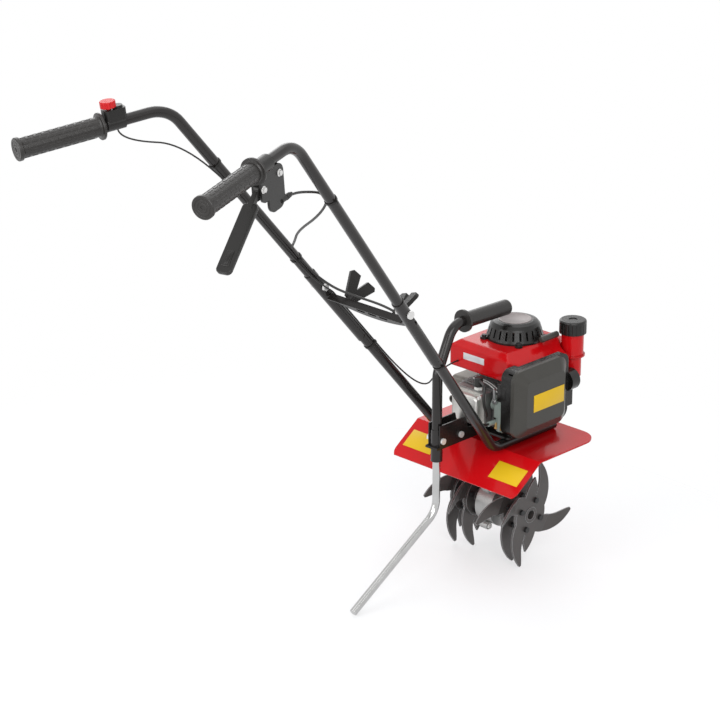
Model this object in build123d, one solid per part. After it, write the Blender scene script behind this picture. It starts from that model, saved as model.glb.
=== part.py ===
from build123d import *
import math
import os

# Garden tiller: a small vertical-shaft engine on a worm gearbox with folding handles.
# Millimetres. X to the machine's right, Y forward, Z up.
# The model is drawn from the point on the ground below the middle of the tine shaft.
# It is written with its origin at the bottom centre of the whole machine.

os.makedirs("parts", exist_ok=True)

# Clearances
RUN = 0.05
GAP = 0.4
FREE = 1.0

# Tilling rotor
AXLE_Z = 112.0
TINE_R = 112.0
PLATE_T = 4.0
OUTER_X = 90.0
INNER_X = 54.0
DISC_R = 44.0
TINE_BOLT_R = 32.0
OUTER_PHASE = -106.0
INNER_PHASE = -97.0
BEND_R = 57.0
OUTER_TILT = 24.0
INNER_TILT = 22.0
SHAFT_R = 10.0
HUB_R = 17.0
HUB_X0 = 37.0

# Worm gear
CRANK_Y = 45.0
WHEEL_TEETH = 26
MODULE = 2.5
WHEEL_R = WHEEL_TEETH * MODULE / 2
WORM_R = CRANK_Y - WHEEL_R
WORM_LEN = 56.0
CASE_HALF = 21.0
CASE_TOP = 226.0
CASE_R = 45.0

# Fender
DECK_Z = 268.0
FENDER_T = 2.5
FENDER_W = 168.0
FENDER_BEND_Y = -62.0
FENDER_FRONT_Y = 124.0
FLAP_Y = -141.0
FLAP_Z = 213.0

# Engine
BASE_Z = 296.0
HOUSING_R = 47.0
CRANK_R = 10.0
CYL_Z = 352.0
SHROUD_TOP = 466.0
SHROUD_BOTTOM = 412.0
SHROUD_WALL = 2.5
SHROUD_X = 100.0
SHROUD_Y0 = -58.0
SHROUD_Y1 = 112.0
SHROUD_ROUND = 5.0
RECOIL_R = 59.0
RECOIL_TOP = 505.0
NECK_X = 88.0
NECK_Y = 122.0
NECK_R = 23.0
CAP_R = 28.0
PART_X = 116.0
COVER_RIM = 9.0
COVER_BEVEL = 22.0
COVER_ROUND = 22.0
COVER_WALL = 3.0
COVER_X = 141.0
COVER_Y0 = -98.0
COVER_Y1 = 60.0
CLEANER_Y1 = 78.0
COVER_Z0 = 314.0
COVER_Z1 = 456.0
CARB_X = 68.0
CARB_Y = -62.0
CARB_Z = 362.0

# Handles
TUBE_R = 10.4
TUBE_WALL = 1.8
GRIP_END = (241.0, -1014.0, 1032.0)
BEND_POINT = (162.6, -733.0, 1067.5)
FOOT_POINT = (67.7, -93.0, DECK_Z + FENDER_T + TUBE_R)
PIVOT_FRACTION = 0.52
HANDLE_BEND = 70.0
GRIP_LEN = 162.0
GRIP_R = 18.5
SLEEVE_R = TUBE_R + 1.9
TAIL = 165.0
BLADE_HALF = 5.0
BLADE_W = TUBE_R - 1.9
BOLT_R = 4.0

# Cables
CABLE_R = 2.4
WIRE_R = 1.6
CORD_SHARE = 0.45
CORD_BEND = 60.0

# Post, carry handle and drag bar
POST_Y = -186.0
POST_R = 10.3
POST_BORE = 8.3
COLLAR_R = POST_R + 1.6
COLLAR_TOP = 330.0
BAR_R = 8.0
BAR_TRAVEL = 50.0
BAR_END = (0.0, -424.0, 7.0)
BAR_BEND = (0.0, -186.0, 152.0)
PLATE_X = 13.0
BRACKET_T = 3.0
BRACKET_REAR = 8.0


def box(x0, x1, y0, y1, z0, z1):
    """Box between two corners."""
    centre = Pos((x0 + x1) / 2, (y0 + y1) / 2, (z0 + z1) / 2)
    return centre * Box(x1 - x0, y1 - y0, z1 - z0)


def xcyl(r, x0, x1, y=0.0, z=0.0):
    """Cylinder along X."""
    return Pos((x0 + x1) / 2, y, z) * Rot(0, 90, 0) * Cylinder(r, x1 - x0)


def ycyl(r, y0, y1, x=0.0, z=0.0):
    """Cylinder along Y."""
    return Pos(x, (y0 + y1) / 2, z) * Rot(90, 0, 0) * Cylinder(r, y1 - y0)


def zcyl(r, z0, z1, x=0.0, y=0.0):
    """Cylinder along Z."""
    return Pos(x, y, (z0 + z1) / 2) * Cylinder(r, z1 - z0)


def rod(p, q, r):
    """Round bar between two points."""
    a = Vector(*p)
    b = Vector(*q)
    return Solid.make_cylinder(r, (b - a).length, Plane(origin=a, z_dir=b - a))


def bent_rod(points, bend, r):
    """Round bar along straight runs joined by tangent arcs."""
    path = FilletPolyline(*points, radius=bend)
    start = Plane(origin=path @ 0, z_dir=path % 0)
    return sweep(start * Circle(r), path=path)


def mirror_x(shape):
    """Copy on the other side of the machine."""
    return mirror(shape, about=Plane.YZ)


def pair(shape):
    """The shape and its mirror copy as separate solids."""
    return [shape, mirror_x(shape)]


def polar(r, a):
    """Point in the plane of a tine plate."""
    return (r * math.cos(math.radians(a)), r * math.sin(math.radians(a)))


def solids_of(items):
    """Flat list of the solids in a list of shapes."""
    found = []
    for item in items:
        found.extend(item.solids())
    return found


NODES = []


def save(name, *items):
    """Keep one node, a single solid or a group of separate solids."""
    NODES.append((name, solids_of(items)))


def write_nodes():
    """Write every node with the origin at the bottom centre of the whole machine."""
    boxes = [solid.bounding_box() for _, found in NODES for solid in found]
    rear = min(b.min.Y for b in boxes)
    front = max(b.max.Y for b in boxes)
    low = min(b.min.Z for b in boxes)
    shift = Pos(0, -(rear + front) / 2, -low)
    print("origin shift", -(rear + front) / 2, -low)
    for name, found in NODES:
        moved = [shift * solid for solid in found]
        shape = moved[0] if len(moved) == 1 else Compound(children=moved)
        shape.label = name
        export_step(shape, f"parts/{name}.step")


# Tilling rotor

def blade_face(a):
    """Sickle arm whose tip points at angle a."""
    r = TINE_R
    edge = Spline(
        polar(0.38 * r, a - 64),
        polar(0.6 * r, a - 38),
        polar(0.75 * r, a - 23),
        polar(0.9 * r, a - 9),
        polar(r, a),
    )
    back = Spline(
        polar(r - 2.5, a + 2.2),
        polar(0.82 * r, a - 0.5),
        polar(0.66 * r, a - 5),
        polar(0.51 * r, a - 7),
    )
    tip = Line(edge @ 1, back @ 0)
    root = Polyline(back @ 1, polar(0.27 * r, a - 10), polar(0.27 * r, a - 62), edge @ 0)
    return make_face([edge, tip, back, root])


def fang_face(a):
    """Short tooth beside an arm whose tip points at angle a."""
    r = TINE_R
    front = Spline(polar(0.51 * r, a - 6), polar(0.6 * r, a), polar(0.72 * r, a + 6))
    back = Spline(polar(0.72 * r, a + 6), polar(0.57 * r, a + 19), polar(0.385 * r, a + 38))
    root = Polyline(back @ 1, polar(0.27 * r, a + 36), polar(0.27 * r, a - 4), front @ 0)
    return make_face([front, back, root])


def bent_arm(a, tilt):
    """Arm folded sideways along a line across its root."""
    lean = a - 26
    flat = extrude(Plane.YZ * blade_face(a), PLATE_T / 2, both=True)
    across = Vector(0, -math.sin(math.radians(lean)), math.cos(math.radians(lean)))
    out = Vector(0, math.cos(math.radians(lean)), math.sin(math.radians(lean)))
    on_line = out * BEND_R
    cut = Plane(origin=on_line, z_dir=out)
    near = split(flat, bisect_by=cut, keep=Keep.BOTTOM)
    far = split(flat, bisect_by=cut, keep=Keep.TOP)
    far = far.rotate(Axis(on_line, across), tilt)
    round_bar = rod(on_line - across * 30, on_line + across * 30, PLATE_T / 2)
    grown = extrude(Plane.YZ * blade_face(a), PLATE_T, both=True)
    return near + far + (round_bar & grown)


def tine_plate(x, phase, tilt):
    """Four-armed plate: two flat arms with teeth and two arms folded sideways."""
    sketch = Circle(DISC_R)
    for turn in (0, 180):
        sketch += blade_face(phase + turn)
        sketch += fang_face(phase + turn)
    plate = extrude(Plane.YZ * sketch, PLATE_T / 2, both=True)
    for turn in (97, 277):
        plate += bent_arm(phase + turn, tilt)
    for k in range(4):
        y, z = polar(TINE_BOLT_R, 64 + 90 * k)
        plate -= xcyl(BOLT_R + RUN, -9, 9, y, z)
    plate -= xcyl(HUB_R + RUN, -9, 9)
    return Pos(x, 0, AXLE_Z) * plate


def tine_hub():
    """Tube that slides on the shaft, with a welded flange for each plate."""
    hub = xcyl(HUB_R, HUB_X0, OUTER_X + PLATE_T / 2 + 1)
    for x in (INNER_X, OUTER_X):
        back = x - PLATE_T / 2
        hub += xcyl(DISC_R - 2, back - 5, back)
        for k in range(4):
            y, z = polar(TINE_BOLT_R, 64 + 90 * k)
            hub -= xcyl(BOLT_R + RUN, back - 6, back + 1, y, z)
    hub -= xcyl(SHAFT_R + RUN, HUB_X0 - 1, OUTER_X + 10)
    hub -= zcyl(3 + RUN, -HUB_R - 1, HUB_R + 1, HUB_X0 + 5)
    return Pos(0, 0, AXLE_Z) * hub


def tine_bolt(x, k):
    """Bolt and nut through a plate and its flange."""
    y, z = polar(TINE_BOLT_R, 64 + 90 * k)
    face = x + PLATE_T / 2
    back = x - PLATE_T / 2 - 5
    head = Pos(face, y, z) * Rot(0, 90, 0) * extrude(RegularPolygon(6.5, 6), 5)
    nut = Pos(back - 5, y, z) * Rot(0, 90, 0) * extrude(RegularPolygon(6.5, 6), 5)
    shank = xcyl(BOLT_R, back - 6, face + 1, y, z)
    return Pos(0, 0, AXLE_Z) * (head + shank + nut)


def worm_wheel():
    """Bronze wheel with straight sloping teeth."""
    root = WHEEL_R - 2.7
    top = WHEEL_R + 2.0
    pitch = 360 / WHEEL_TEETH
    wheel = xcyl(root, -7, 7)
    lean = math.degrees(math.atan(MODULE / (2 * WORM_R)))
    tooth = Polyline((root - 1, -2.5), (top, -0.95), (top, 0.95), (root - 1, 2.5), close=True)
    bar = extrude(Plane.YZ * make_face(tooth), 6, both=True)
    bar = bar.rotate(Axis.Y, -lean)
    for k in range(WHEEL_TEETH):
        wheel += bar.rotate(Axis.X, pitch * k)
    wheel += xcyl(18, -10, 10)
    wheel -= xcyl(SHAFT_R + RUN, -11, 11)
    return Pos(0, 0, AXLE_Z) * wheel


def tine_shaft():
    """Through shaft with a cross hole at each hub."""
    shaft = xcyl(SHAFT_R, -72, 72)
    for side in (-1, 1):
        shaft -= zcyl(3 + RUN, -20, 20, side * (HUB_X0 + 5))
    return Pos(0, 0, AXLE_Z) * shaft


def hub_pin(side):
    """Cross pin with a flat head."""
    x = side * (HUB_X0 + 5)
    pin = zcyl(3, AXLE_Z - HUB_R - 5, AXLE_Z + HUB_R + 1, x)
    return pin + zcyl(4.7, AXLE_Z + HUB_R + 0.2, AXLE_Z + HUB_R + 3.2, x)


tine_bolts = []
for plate_x in (INNER_X, OUTER_X):
    for number in range(4):
        tine_bolts += pair(tine_bolt(plate_x, number))

outer_plate = tine_plate(OUTER_X, OUTER_PHASE, -OUTER_TILT)
inner_plate = tine_plate(INNER_X, INNER_PHASE, INNER_TILT)
right_hub = tine_hub()
save("outer_tines", *pair(outer_plate))
save("inner_tines", *pair(inner_plate))
save("tine_hubs", *pair(right_hub))
save("tine_bolts", *tine_bolts, hub_pin(-1), hub_pin(1))
save("tine_shaft", tine_shaft())
save("worm_wheel", worm_wheel())


# Gearbox

BEARING_OUT = 21.0
BEARING_W = 10.0
WORM_BEARING_OUT = 17.0
WORM_SHAFT_R = 8.0
WORM_TOP_Z = 186.0
WORM_LOW_Z = AXLE_Z - WORM_LEN / 2 - 12


def gear_case():
    """Both halves of the case before they are parted."""
    case = xcyl(CASE_R, -CASE_HALF, CASE_HALF, 0, AXLE_Z)
    case += xcyl(27, -CASE_HALF - 11, CASE_HALF + 11, 0, AXLE_Z)
    case += zcyl(CASE_HALF, WORM_LOW_Z - 6, CASE_TOP, 0, CRANK_Y)
    case += box(-CASE_HALF, CASE_HALF, 0, CRANK_Y, AXLE_Z - 34, AXLE_Z + 34)
    case += zcyl(40, CASE_TOP - 8, CASE_TOP, 0, CRANK_Y)
    for z in (AXLE_Z + 50, AXLE_Z + 70, AXLE_Z + 90):
        case += box(-CASE_HALF + 2, CASE_HALF - 2, CRANK_Y - 28, CRANK_Y + 28, z, z + 4)
    case -= xcyl(WHEEL_R + 4, -11, 11, 0, AXLE_Z)
    case -= xcyl(SHAFT_R + FREE, -60, 60, 0, AXLE_Z)
    for side in (-1, 1):
        inner = side * 14
        outer = side * (14 + BEARING_W)
        case -= xcyl(BEARING_OUT, min(inner, outer), max(inner, outer), 0, AXLE_Z)
    case -= zcyl(WORM_R + 4.5, WORM_LOW_Z + 12, WORM_TOP_Z - 8, 0, CRANK_Y)
    case -= zcyl(WORM_BEARING_OUT, WORM_LOW_Z, WORM_LOW_Z + 12, 0, CRANK_Y)
    case -= zcyl(WORM_BEARING_OUT, WORM_TOP_Z - 8, WORM_TOP_Z + 4, 0, CRANK_Y)
    case -= zcyl(WORM_SHAFT_R + FREE, WORM_TOP_Z, CASE_TOP + 1, 0, CRANK_Y)
    return case


CASE_BOLTS = ((-30, AXLE_Z + 40), (-34, AXLE_Z - 40), (16, AXLE_Z - 50), (CRANK_Y + 26, AXLE_Z + 82))


def case_lugs():
    """Round lugs for the case bolts."""
    lugs = None
    for y, z in CASE_BOLTS:
        lug = xcyl(8, -9, 9, y, z)
        lugs = lug if lugs is None else lugs + lug
    return lugs


def gear_case_half(side):
    """One half, parted on the middle plane."""
    case = gear_case()
    lugs = case_lugs()
    inside = xcyl(WHEEL_R + 4, -11, 11, 0, AXLE_Z)
    inside += zcyl(WORM_R + 4.5, WORM_LOW_Z + 12, WORM_TOP_Z - 8, 0, CRANK_Y)
    case += lugs - inside
    for y, z in CASE_BOLTS:
        case -= xcyl(3 + RUN, -30, 30, y, z)
    keep = box(0, 100, -200, 200, 0, 400) if side > 0 else box(-100, 0, -200, 200, 0, 400)
    return case & keep


def case_bolt(y, z):
    """Case bolt with its nut."""
    bolt = xcyl(3, -9.5, 9.5, y, z)
    bolt += Pos(9, y, z) * Rot(0, 90, 0) * extrude(RegularPolygon(5.5, 6), 4)
    bolt += Pos(-13, y, z) * Rot(0, 90, 0) * extrude(RegularPolygon(5.5, 6), 4)
    return bolt


def shaft_bearing(side):
    """Ball bearing drawn as a ring."""
    inner = side * 14
    outer = side * (14 + BEARING_W)
    ring = xcyl(BEARING_OUT - RUN, min(inner, outer), max(inner, outer), 0, AXLE_Z)
    return ring - xcyl(SHAFT_R + RUN, -40, 40, 0, AXLE_Z)


def worm_bearing(z0):
    """Upper or lower bearing of the worm."""
    ring = zcyl(WORM_BEARING_OUT - RUN, z0, z0 + 12, 0, CRANK_Y)
    return ring - zcyl(WORM_SHAFT_R + RUN, z0 - 1, z0 + 13, 0, CRANK_Y)


DRUM_Z = 241.0
DRUM_R = 35.0


def worm_shaft():
    """Single-start worm on its shaft."""
    root = WORM_R - 2.9
    pitch = math.pi * MODULE
    turns = 6
    length = turns * pitch
    base = AXLE_Z - length / 2
    helix = Helix(pitch, length, root - 0.4)
    side = Plane(origin=helix @ 0, x_dir=(1, 0, 0), z_dir=helix % 0)
    thread = Polyline((0, -2.05), (5.0, -0.75), (5.0, 0.75), (0, 2.05), close=True)
    ridge = sweep(side * make_face(thread), path=helix, is_frenet=True)
    worm = zcyl(root, base - 4, base + length + 4, 0, 0) + Pos(0, 0, base) * ridge
    worm = Pos(0, CRANK_Y, 0) * worm.rotate(Axis.Z, 90)
    worm += zcyl(WORM_SHAFT_R, WORM_LOW_Z + 0.5, DRUM_Z + 8, 0, CRANK_Y)
    return worm


def clutch_drum():
    """Cup driven by the clutch shoes."""
    drum = zcyl(DRUM_R, DRUM_Z, DRUM_Z + 26, 0, CRANK_Y)
    drum -= zcyl(DRUM_R - 3, DRUM_Z + 9, DRUM_Z + 30, 0, CRANK_Y)
    drum -= zcyl(WORM_SHAFT_R + RUN, DRUM_Z - 1, DRUM_Z + 12, 0, CRANK_Y)
    return drum


save("gear_case_right", gear_case_half(1))
save("gear_case_left", gear_case_half(-1))
save("case_bolts", *[case_bolt(y, z) for y, z in CASE_BOLTS])
save(
    "bearings",
    shaft_bearing(-1),
    shaft_bearing(1),
    worm_bearing(WORM_LOW_Z),
    worm_bearing(WORM_TOP_Z - 8),
)
save("worm_shaft", worm_shaft())
save("clutch_drum", clutch_drum())


# Engine

CARRIER_R = 16.0
SHOE_Z0 = DRUM_Z + 11
SHOE_Z1 = DRUM_Z + 25
BED_Z = DECK_Z + FENDER_T + 2 * TUBE_R
CASE_X = 50.0
CASE_Y0 = -8.0
CASE_Y1 = 98.0
CASE_Z1 = 385.0
FLY_Z = 398.0
FLY_R = 58.0
SCREW_ANGLES = (235, 318, 125)
EAR_R = RECOIL_R + 5.5
FIN_X = 43.0
STUB_X = 57.0
STUB_Z = 330.0
HEAD_X = 40.0
HEAD_Y = -86.0
ROCKER_X = 34.0
ROCKER_Z = 30.0
CLEANER_X0 = 90.0
CHOKE_X = CARB_X - 8
CHOKE_Z = CARB_Z + 14


def clutch_housing():
    """Bell between the gearbox and the engine bed."""
    bell = zcyl(HOUSING_R, CASE_TOP, BED_Z, 0, CRANK_Y)
    bell += zcyl(54, BED_Z - 7, BED_Z, 0, CRANK_Y)
    bell -= zcyl(DRUM_R + 4, CASE_TOP + 8, BED_Z + 1, 0, CRANK_Y)
    bell -= zcyl(WORM_SHAFT_R + FREE, CASE_TOP - 1, CASE_TOP + 9, 0, CRANK_Y)
    return bell


def crankcase():
    """Aluminium case with the crank chamber inside."""
    case = box(-CASE_X, CASE_X, CASE_Y0, CASE_Y1, BASE_Z, CASE_Z1)
    case = fillet(case.edges().filter_by(Axis.Z), 12)
    case += zcyl(24, CASE_Z1, CASE_Z1 + 6, 0, CRANK_Y)
    case -= zcyl(38, BASE_Z + 8, CASE_Z1 - 8, 0, CRANK_Y)
    case -= zcyl(CRANK_R + RUN, BASE_Z - 1, CASE_Z1 + 10, 0, CRANK_Y)
    case -= ycyl(24, CASE_Y0 - 1, CRANK_Y, 0, CYL_Z)
    return case


def crankshaft():
    """Vertical crank with two webs, a crank pin and the clutch carrier."""
    crank = zcyl(CRANK_R, SHOE_Z0 - FREE, CYL_Z - 12, 0, CRANK_Y)
    crank += zcyl(CRANK_R, CYL_Z + 12, FLY_Z + 46, 0, CRANK_Y)
    for z0 in (CYL_Z - 20, CYL_Z + 12):
        crank += zcyl(32, z0, z0 + 8, 0, CRANK_Y)
    crank += zcyl(9, CYL_Z - 14, CYL_Z + 14, 0, CRANK_Y - 17)
    crank += zcyl(CARRIER_R, SHOE_Z0, SHOE_Z1, 0, CRANK_Y)
    return crank


def clutch_shoe(side):
    """One friction shoe, a half ring."""
    ring = zcyl(DRUM_R - 3 - GAP, SHOE_Z0, SHOE_Z1, 0, CRANK_Y)
    ring -= zcyl(CARRIER_R + RUN, SHOE_Z0 - 1, SHOE_Z1 + 1, 0, CRANK_Y)
    half = box(1.5, 60, CRANK_Y - 60, CRANK_Y + 60, SHOE_Z0 - 5, SHOE_Z1 + 5)
    if side < 0:
        half = box(-60, -1.5, CRANK_Y - 60, CRANK_Y + 60, SHOE_Z0 - 5, SHOE_Z1 + 5)
    return ring & half


def flywheel():
    """Flywheel with fan blades on top."""
    wheel = zcyl(FLY_R, FLY_Z, FLY_Z + 24)
    wheel -= zcyl(FLY_R - 14, FLY_Z - 1, FLY_Z + 16)
    wheel += zcyl(20, FLY_Z, FLY_Z + 24)
    for k in range(10):
        blade = box(26, FLY_R - 2, -1.5, 1.5, FLY_Z + 23, FLY_Z + 40)
        wheel += blade.rotate(Axis.Z, 36 * k)
    wheel -= zcyl(CRANK_R + RUN, FLY_Z - 1, FLY_Z + 30)
    return Pos(0, CRANK_Y, 0) * wheel


def cylinder():
    """Finned barrel lying to the rear, with its head."""
    barrel = ycyl(29, -70, CASE_Y0, 0, CYL_Z)
    for k in range(7):
        y = -16 - 8 * k
        barrel += box(-FIN_X, FIN_X, y - 1.5, y + 1.5, CYL_Z - 40, CYL_Z + 38)
    barrel += box(-HEAD_X, HEAD_X, HEAD_Y, -68, CYL_Z - 36, CYL_Z + 36)
    barrel -= ycyl(19, -64, CASE_Y0 + 1, 0, CYL_Z)
    barrel -= zcyl(5 + RUN, CYL_Z + 24, CYL_Z + 60, 12, -77)
    return barrel


def rocker_cover():
    """Cover on the head, with a flange and four screw bosses."""
    cover = box(-ROCKER_X, ROCKER_X, -108, HEAD_Y, CYL_Z - ROCKER_Z, CYL_Z + ROCKER_Z)
    cover = fillet(cover.edges().filter_by(Axis.Y), 10)
    cover = fillet(cover.faces().sort_by(Axis.Y)[0].edges(), 5)
    flange = box(1 - HEAD_X, HEAD_X - 1, HEAD_Y - 4, HEAD_Y, CYL_Z - ROCKER_Z - 4, CYL_Z + ROCKER_Z + 4)
    cover += fillet(flange.edges().filter_by(Axis.Y), 7)
    for x in (-ROCKER_X, ROCKER_X):
        for z in (CYL_Z - ROCKER_Z + 1, CYL_Z + ROCKER_Z - 1):
            cover += ycyl(5, HEAD_Y - 12, HEAD_Y, x, z)
    x = ROCKER_X - 5
    z = ROCKER_Z - 5
    return cover - box(-x, x, -104, HEAD_Y + 1, CYL_Z - z, CYL_Z + z)


def shroud_block(d, low):
    """Bevelled block of the fan shroud, shrunk by d."""
    top = SHROUD_TOP - d
    across = Polyline(
        (-86 + d, low),
        (-86 + d, 454 - 0.4 * d),
        (-70 + 0.4 * d, top),
        (56 - 0.3 * d, top),
        (SHROUD_X - d, 438 - 0.5 * d),
        (SHROUD_X - d, low),
        close=True,
    )
    along = Polyline(
        (SHROUD_Y0 + d, low),
        (SHROUD_Y0 + d, 456 - 0.4 * d),
        (SHROUD_Y0 + 16 + 0.4 * d, top),
        (SHROUD_Y1 - d, top),
        (SHROUD_Y1 - d, low),
        close=True,
    )
    block = extrude(Plane.XZ * make_face(across), 200, both=True)
    block = block & extrude(Plane.YZ * make_face(along), 200, both=True)
    corner = Polyline((SHROUD_X, SHROUD_Y0), (SHROUD_X, SHROUD_Y0 + 34), (72, SHROUD_Y0), close=True)
    return block - Pos(-d, d, 0) * extrude(make_face(corner), 600)


def fan_shroud():
    """Red cover over the flywheel, with its floor and legs."""
    neck = NECK_R + 3 + FREE
    shell = shroud_block(0, SHROUD_BOTTOM)
    rounded = shell.edges().filter_by(lambda edge: edge.center().Z > SHROUD_BOTTOM + 1)
    shell = fillet(rounded, SHROUD_ROUND) - zcyl(neck, 380, 500, NECK_X, NECK_Y)
    hollow = shroud_block(SHROUD_WALL, SHROUD_BOTTOM - 1)
    shell -= hollow - zcyl(neck + SHROUD_WALL, 380, 500, NECK_X, NECK_Y)
    floor_plate = shroud_block(SHROUD_WALL - FREE, SHROUD_BOTTOM) & box(-200, 200, -200, 200, 411, 414.5)
    floor_plate -= zcyl(neck, 380, 500, NECK_X, NECK_Y)
    shell += floor_plate - zcyl(FLY_R + 2, 400, 420, 0, CRANK_Y)
    for x in (-45, 45):
        for y in (CRANK_Y - 46, CRANK_Y + 46):
            shell += zcyl(5, CASE_Z1, 413, x, y)
    shell -= zcyl(RECOIL_R - 7, SHROUD_TOP - 6, SHROUD_TOP + 1, 0, CRANK_Y)
    for a in SCREW_ANGLES:
        x, y = polar(EAR_R, a)
        shell -= zcyl(3 + RUN, SHROUD_TOP - 12, SHROUD_TOP + 1, x, y + CRANK_Y)
    return shell - ycyl(WIRE_R + RUN, SHROUD_Y0 - 2, SHROUD_Y0 + 8, -62, 425)


def fuel_tank():
    """Tank at the front with its filler neck."""
    tank = box(-60, 84, 112, 147, 386, 452)
    tank = fillet(tank.edges().filter_by(Axis.Z), 9)
    tank = fillet(tank.faces().sort_by(Axis.Z)[-1].edges(), 6)
    tank += zcyl(NECK_R - 4, 386, 432, NECK_X, NECK_Y)
    tank += zcyl(NECK_R, 430, 484, NECK_X, NECK_Y)
    tank += zcyl(NECK_R + 3, 429, 433, NECK_X, NECK_Y)
    tank -= box(-57, 81, 115, 144, 389, 448)
    tank -= zcyl(NECK_R - 7, 389, 485, NECK_X, NECK_Y)
    return tank


def fuel_cap():
    """Screw cap with a ribbed skirt."""
    cap = zcyl(CAP_R, 478, 506)
    cap = fillet(cap.faces().sort_by(Axis.Z)[-1].edges(), 4)
    for k in range(20):
        notch = zcyl(1.6, 474, 500, CAP_R + 0.8, 0)
        cap -= notch.rotate(Axis.Z, 18 * k)
    cap -= zcyl(NECK_R + GAP, 477, 484)
    cap -= zcyl(9, 504.5, 507)
    return Pos(NECK_X, NECK_Y, 0) * cap


ROPE_R = 1.8
ROPE_OFFSET = 22.0
ROPE_Y = CRANK_Y + ROPE_OFFSET
ROPE_Z = 474.0
REEL_Z = 468.0


def recoil_cover():
    """Black dome with slots and three ears."""
    top = RECOIL_TOP
    base = SHROUD_TOP
    outer = Polyline(
        (0, base), (RECOIL_R, base), (RECOIL_R, base + 4), (51, top - 9), (46, top - 3), (38, top), (0, top),
        close=True,
    )
    inner = Polyline(
        (0, base - 1), (RECOIL_R - 4, base - 1), (RECOIL_R - 4, base + 3), (47, top - 11), (0, top - 5),
        close=True,
    )
    dome = revolve(Plane.XZ * make_face(outer), Axis.Z) - revolve(Plane.XZ * make_face(inner), Axis.Z)
    for k in range(24):
        slot = box(49, 70, -2, 2, base + 9, top - 13)
        dome -= slot.rotate(Axis.Z, 15 * k + 7.5)
    for a in SCREW_ANGLES:
        x, y = polar(EAR_R, a)
        dome += zcyl(8, base, base + 5, x, y) - zcyl(RECOIL_R - 4, base - 1, base + 9)
        dome -= zcyl(3 + RUN, base - 1, base + 9, x, y)
    dome += zcyl(6, REEL_Z - 3, top - 4)
    dome = Pos(0, CRANK_Y, 0) * dome
    return dome - xcyl(4, 30, 80, ROPE_Y, ROPE_Z)


def recoil_screw(a):
    """Screw in an ear of the recoil cover."""
    x, y = polar(EAR_R, a)
    screw = zcyl(3, SHROUD_TOP - 10, SHROUD_TOP + 6, x, y + CRANK_Y)
    return screw + zcyl(5.0, SHROUD_TOP + 5, SHROUD_TOP + 9, x, y + CRANK_Y)


def recoil_reel():
    """Reel for the starter rope."""
    reel = zcyl(34, REEL_Z, REEL_Z + 12) - zcyl(40, REEL_Z + 3, REEL_Z + 9)
    reel += zcyl(ROPE_OFFSET - ROPE_R - 0.3, REEL_Z, REEL_Z + 12)
    reel -= zcyl(6 + RUN, REEL_Z - 1, REEL_Z + 13)
    return Pos(0, CRANK_Y, 0) * reel


GRIP_X = 68.0


def starter_grip():
    """Pull grip of the starter rope."""
    grip = ycyl(6.5, ROPE_Y - 26, ROPE_Y + 26, GRIP_X + 4, ROPE_Z + 4)
    grip = fillet(grip.edges(), 3)
    grip += xcyl(5, GRIP_X - 8, GRIP_X + 4, ROPE_Y, ROPE_Z + 2)
    return grip - xcyl(ROPE_R + RUN, 0, GRIP_X, ROPE_Y, ROPE_Z)


def starter_rope():
    """Short visible run of rope between the reel and the grip."""
    return xcyl(ROPE_R, -4, GRIP_X, ROPE_Y, ROPE_Z)


def carburettor():
    """Carburettor with its float bowl and inlet stubs."""
    body = box(CARB_X - 16, CARB_X + 16, CARB_Y - 16, CARB_Y + 16, CARB_Z - 22, CARB_Z + 22)
    body = fillet(body.edges().filter_by(Axis.Z), 5)
    body += zcyl(16, CARB_Z - 50, CARB_Z - 21, CARB_X, CARB_Y)
    body += zcyl(5, CARB_Z - 56, CARB_Z - 48, CARB_X, CARB_Y)
    body += xcyl(13, FIN_X, CLEANER_X0, CARB_Y, CARB_Z)
    body += ycyl(5, CARB_Y - 34, CARB_Y - 10, STUB_X, STUB_Z)
    body -= xcyl(9, FIN_X - 4, CLEANER_X0 + 1, CARB_Y, CARB_Z)
    body -= ycyl(3 + RUN, CARB_Y - 28, CARB_Y - 8, CHOKE_X, CHOKE_Z)
    body -= ycyl(CABLE_R + RUN, CARB_Y - 35, CARB_Y - 28, STUB_X, STUB_Z)
    return body


def choke_lever():
    """Bent lever on the carburettor."""
    lever = ycyl(3, CARB_Y - 24, CARB_Y - 10, CHOKE_X, CHOKE_Z)
    lever += ycyl(6, CARB_Y - 22, CARB_Y - 19, CHOKE_X, CHOKE_Z)
    return lever + box(CHOKE_X - 3, CHOKE_X + 3, CARB_Y - 22, CARB_Y - 19, CHOKE_Z, CHOKE_Z + 26)


def air_cleaner_base():
    """Black box behind the cover, with the intake horn at its front end."""
    base = box(CLEANER_X0, PART_X, COVER_Y0 + 1, CLEANER_Y1, COVER_Z0 + 1, COVER_Z1 - 1)
    base = fillet(base.edges().filter_by(Axis.X), COVER_ROUND - 3)
    base += box(CLEANER_X0 - 4, PART_X - 4, CLEANER_Y1 - 1, CLEANER_Y1 + 20, 334, 408)
    base += ycyl(22, CLEANER_Y1 - 1, CLEANER_Y1 + 22, 108, 390)
    wall = CLEANER_X0 + 4
    base -= box(wall, PART_X + 1, COVER_Y0 + 5, COVER_Y1 - 5, COVER_Z0 + 6, SHROUD_BOTTOM - 4)
    base -= box(SHROUD_X + 4, PART_X + 1, COVER_Y0 + 5, COVER_Y1 - 5, SHROUD_BOTTOM - 5, COVER_Z1 - 6)
    base -= xcyl(9, CLEANER_X0 - 10, wall + 10, CARB_Y, CARB_Z)
    base -= zcyl(NECK_R - 4 + GAP, 300, 420, NECK_X, NECK_Y)
    return base - box(80, SHROUD_X + GAP, SHROUD_Y0 - GAP, SHROUD_Y1 + GAP, SHROUD_BOTTOM - GAP, 500)


def air_filter():
    """Foam block."""
    return box(CLEANER_X0 + 4, PART_X + 6, COVER_Y0 + 9, COVER_Y1 - 9, COVER_Z0 + 14, SHROUD_BOTTOM - 8)


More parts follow.
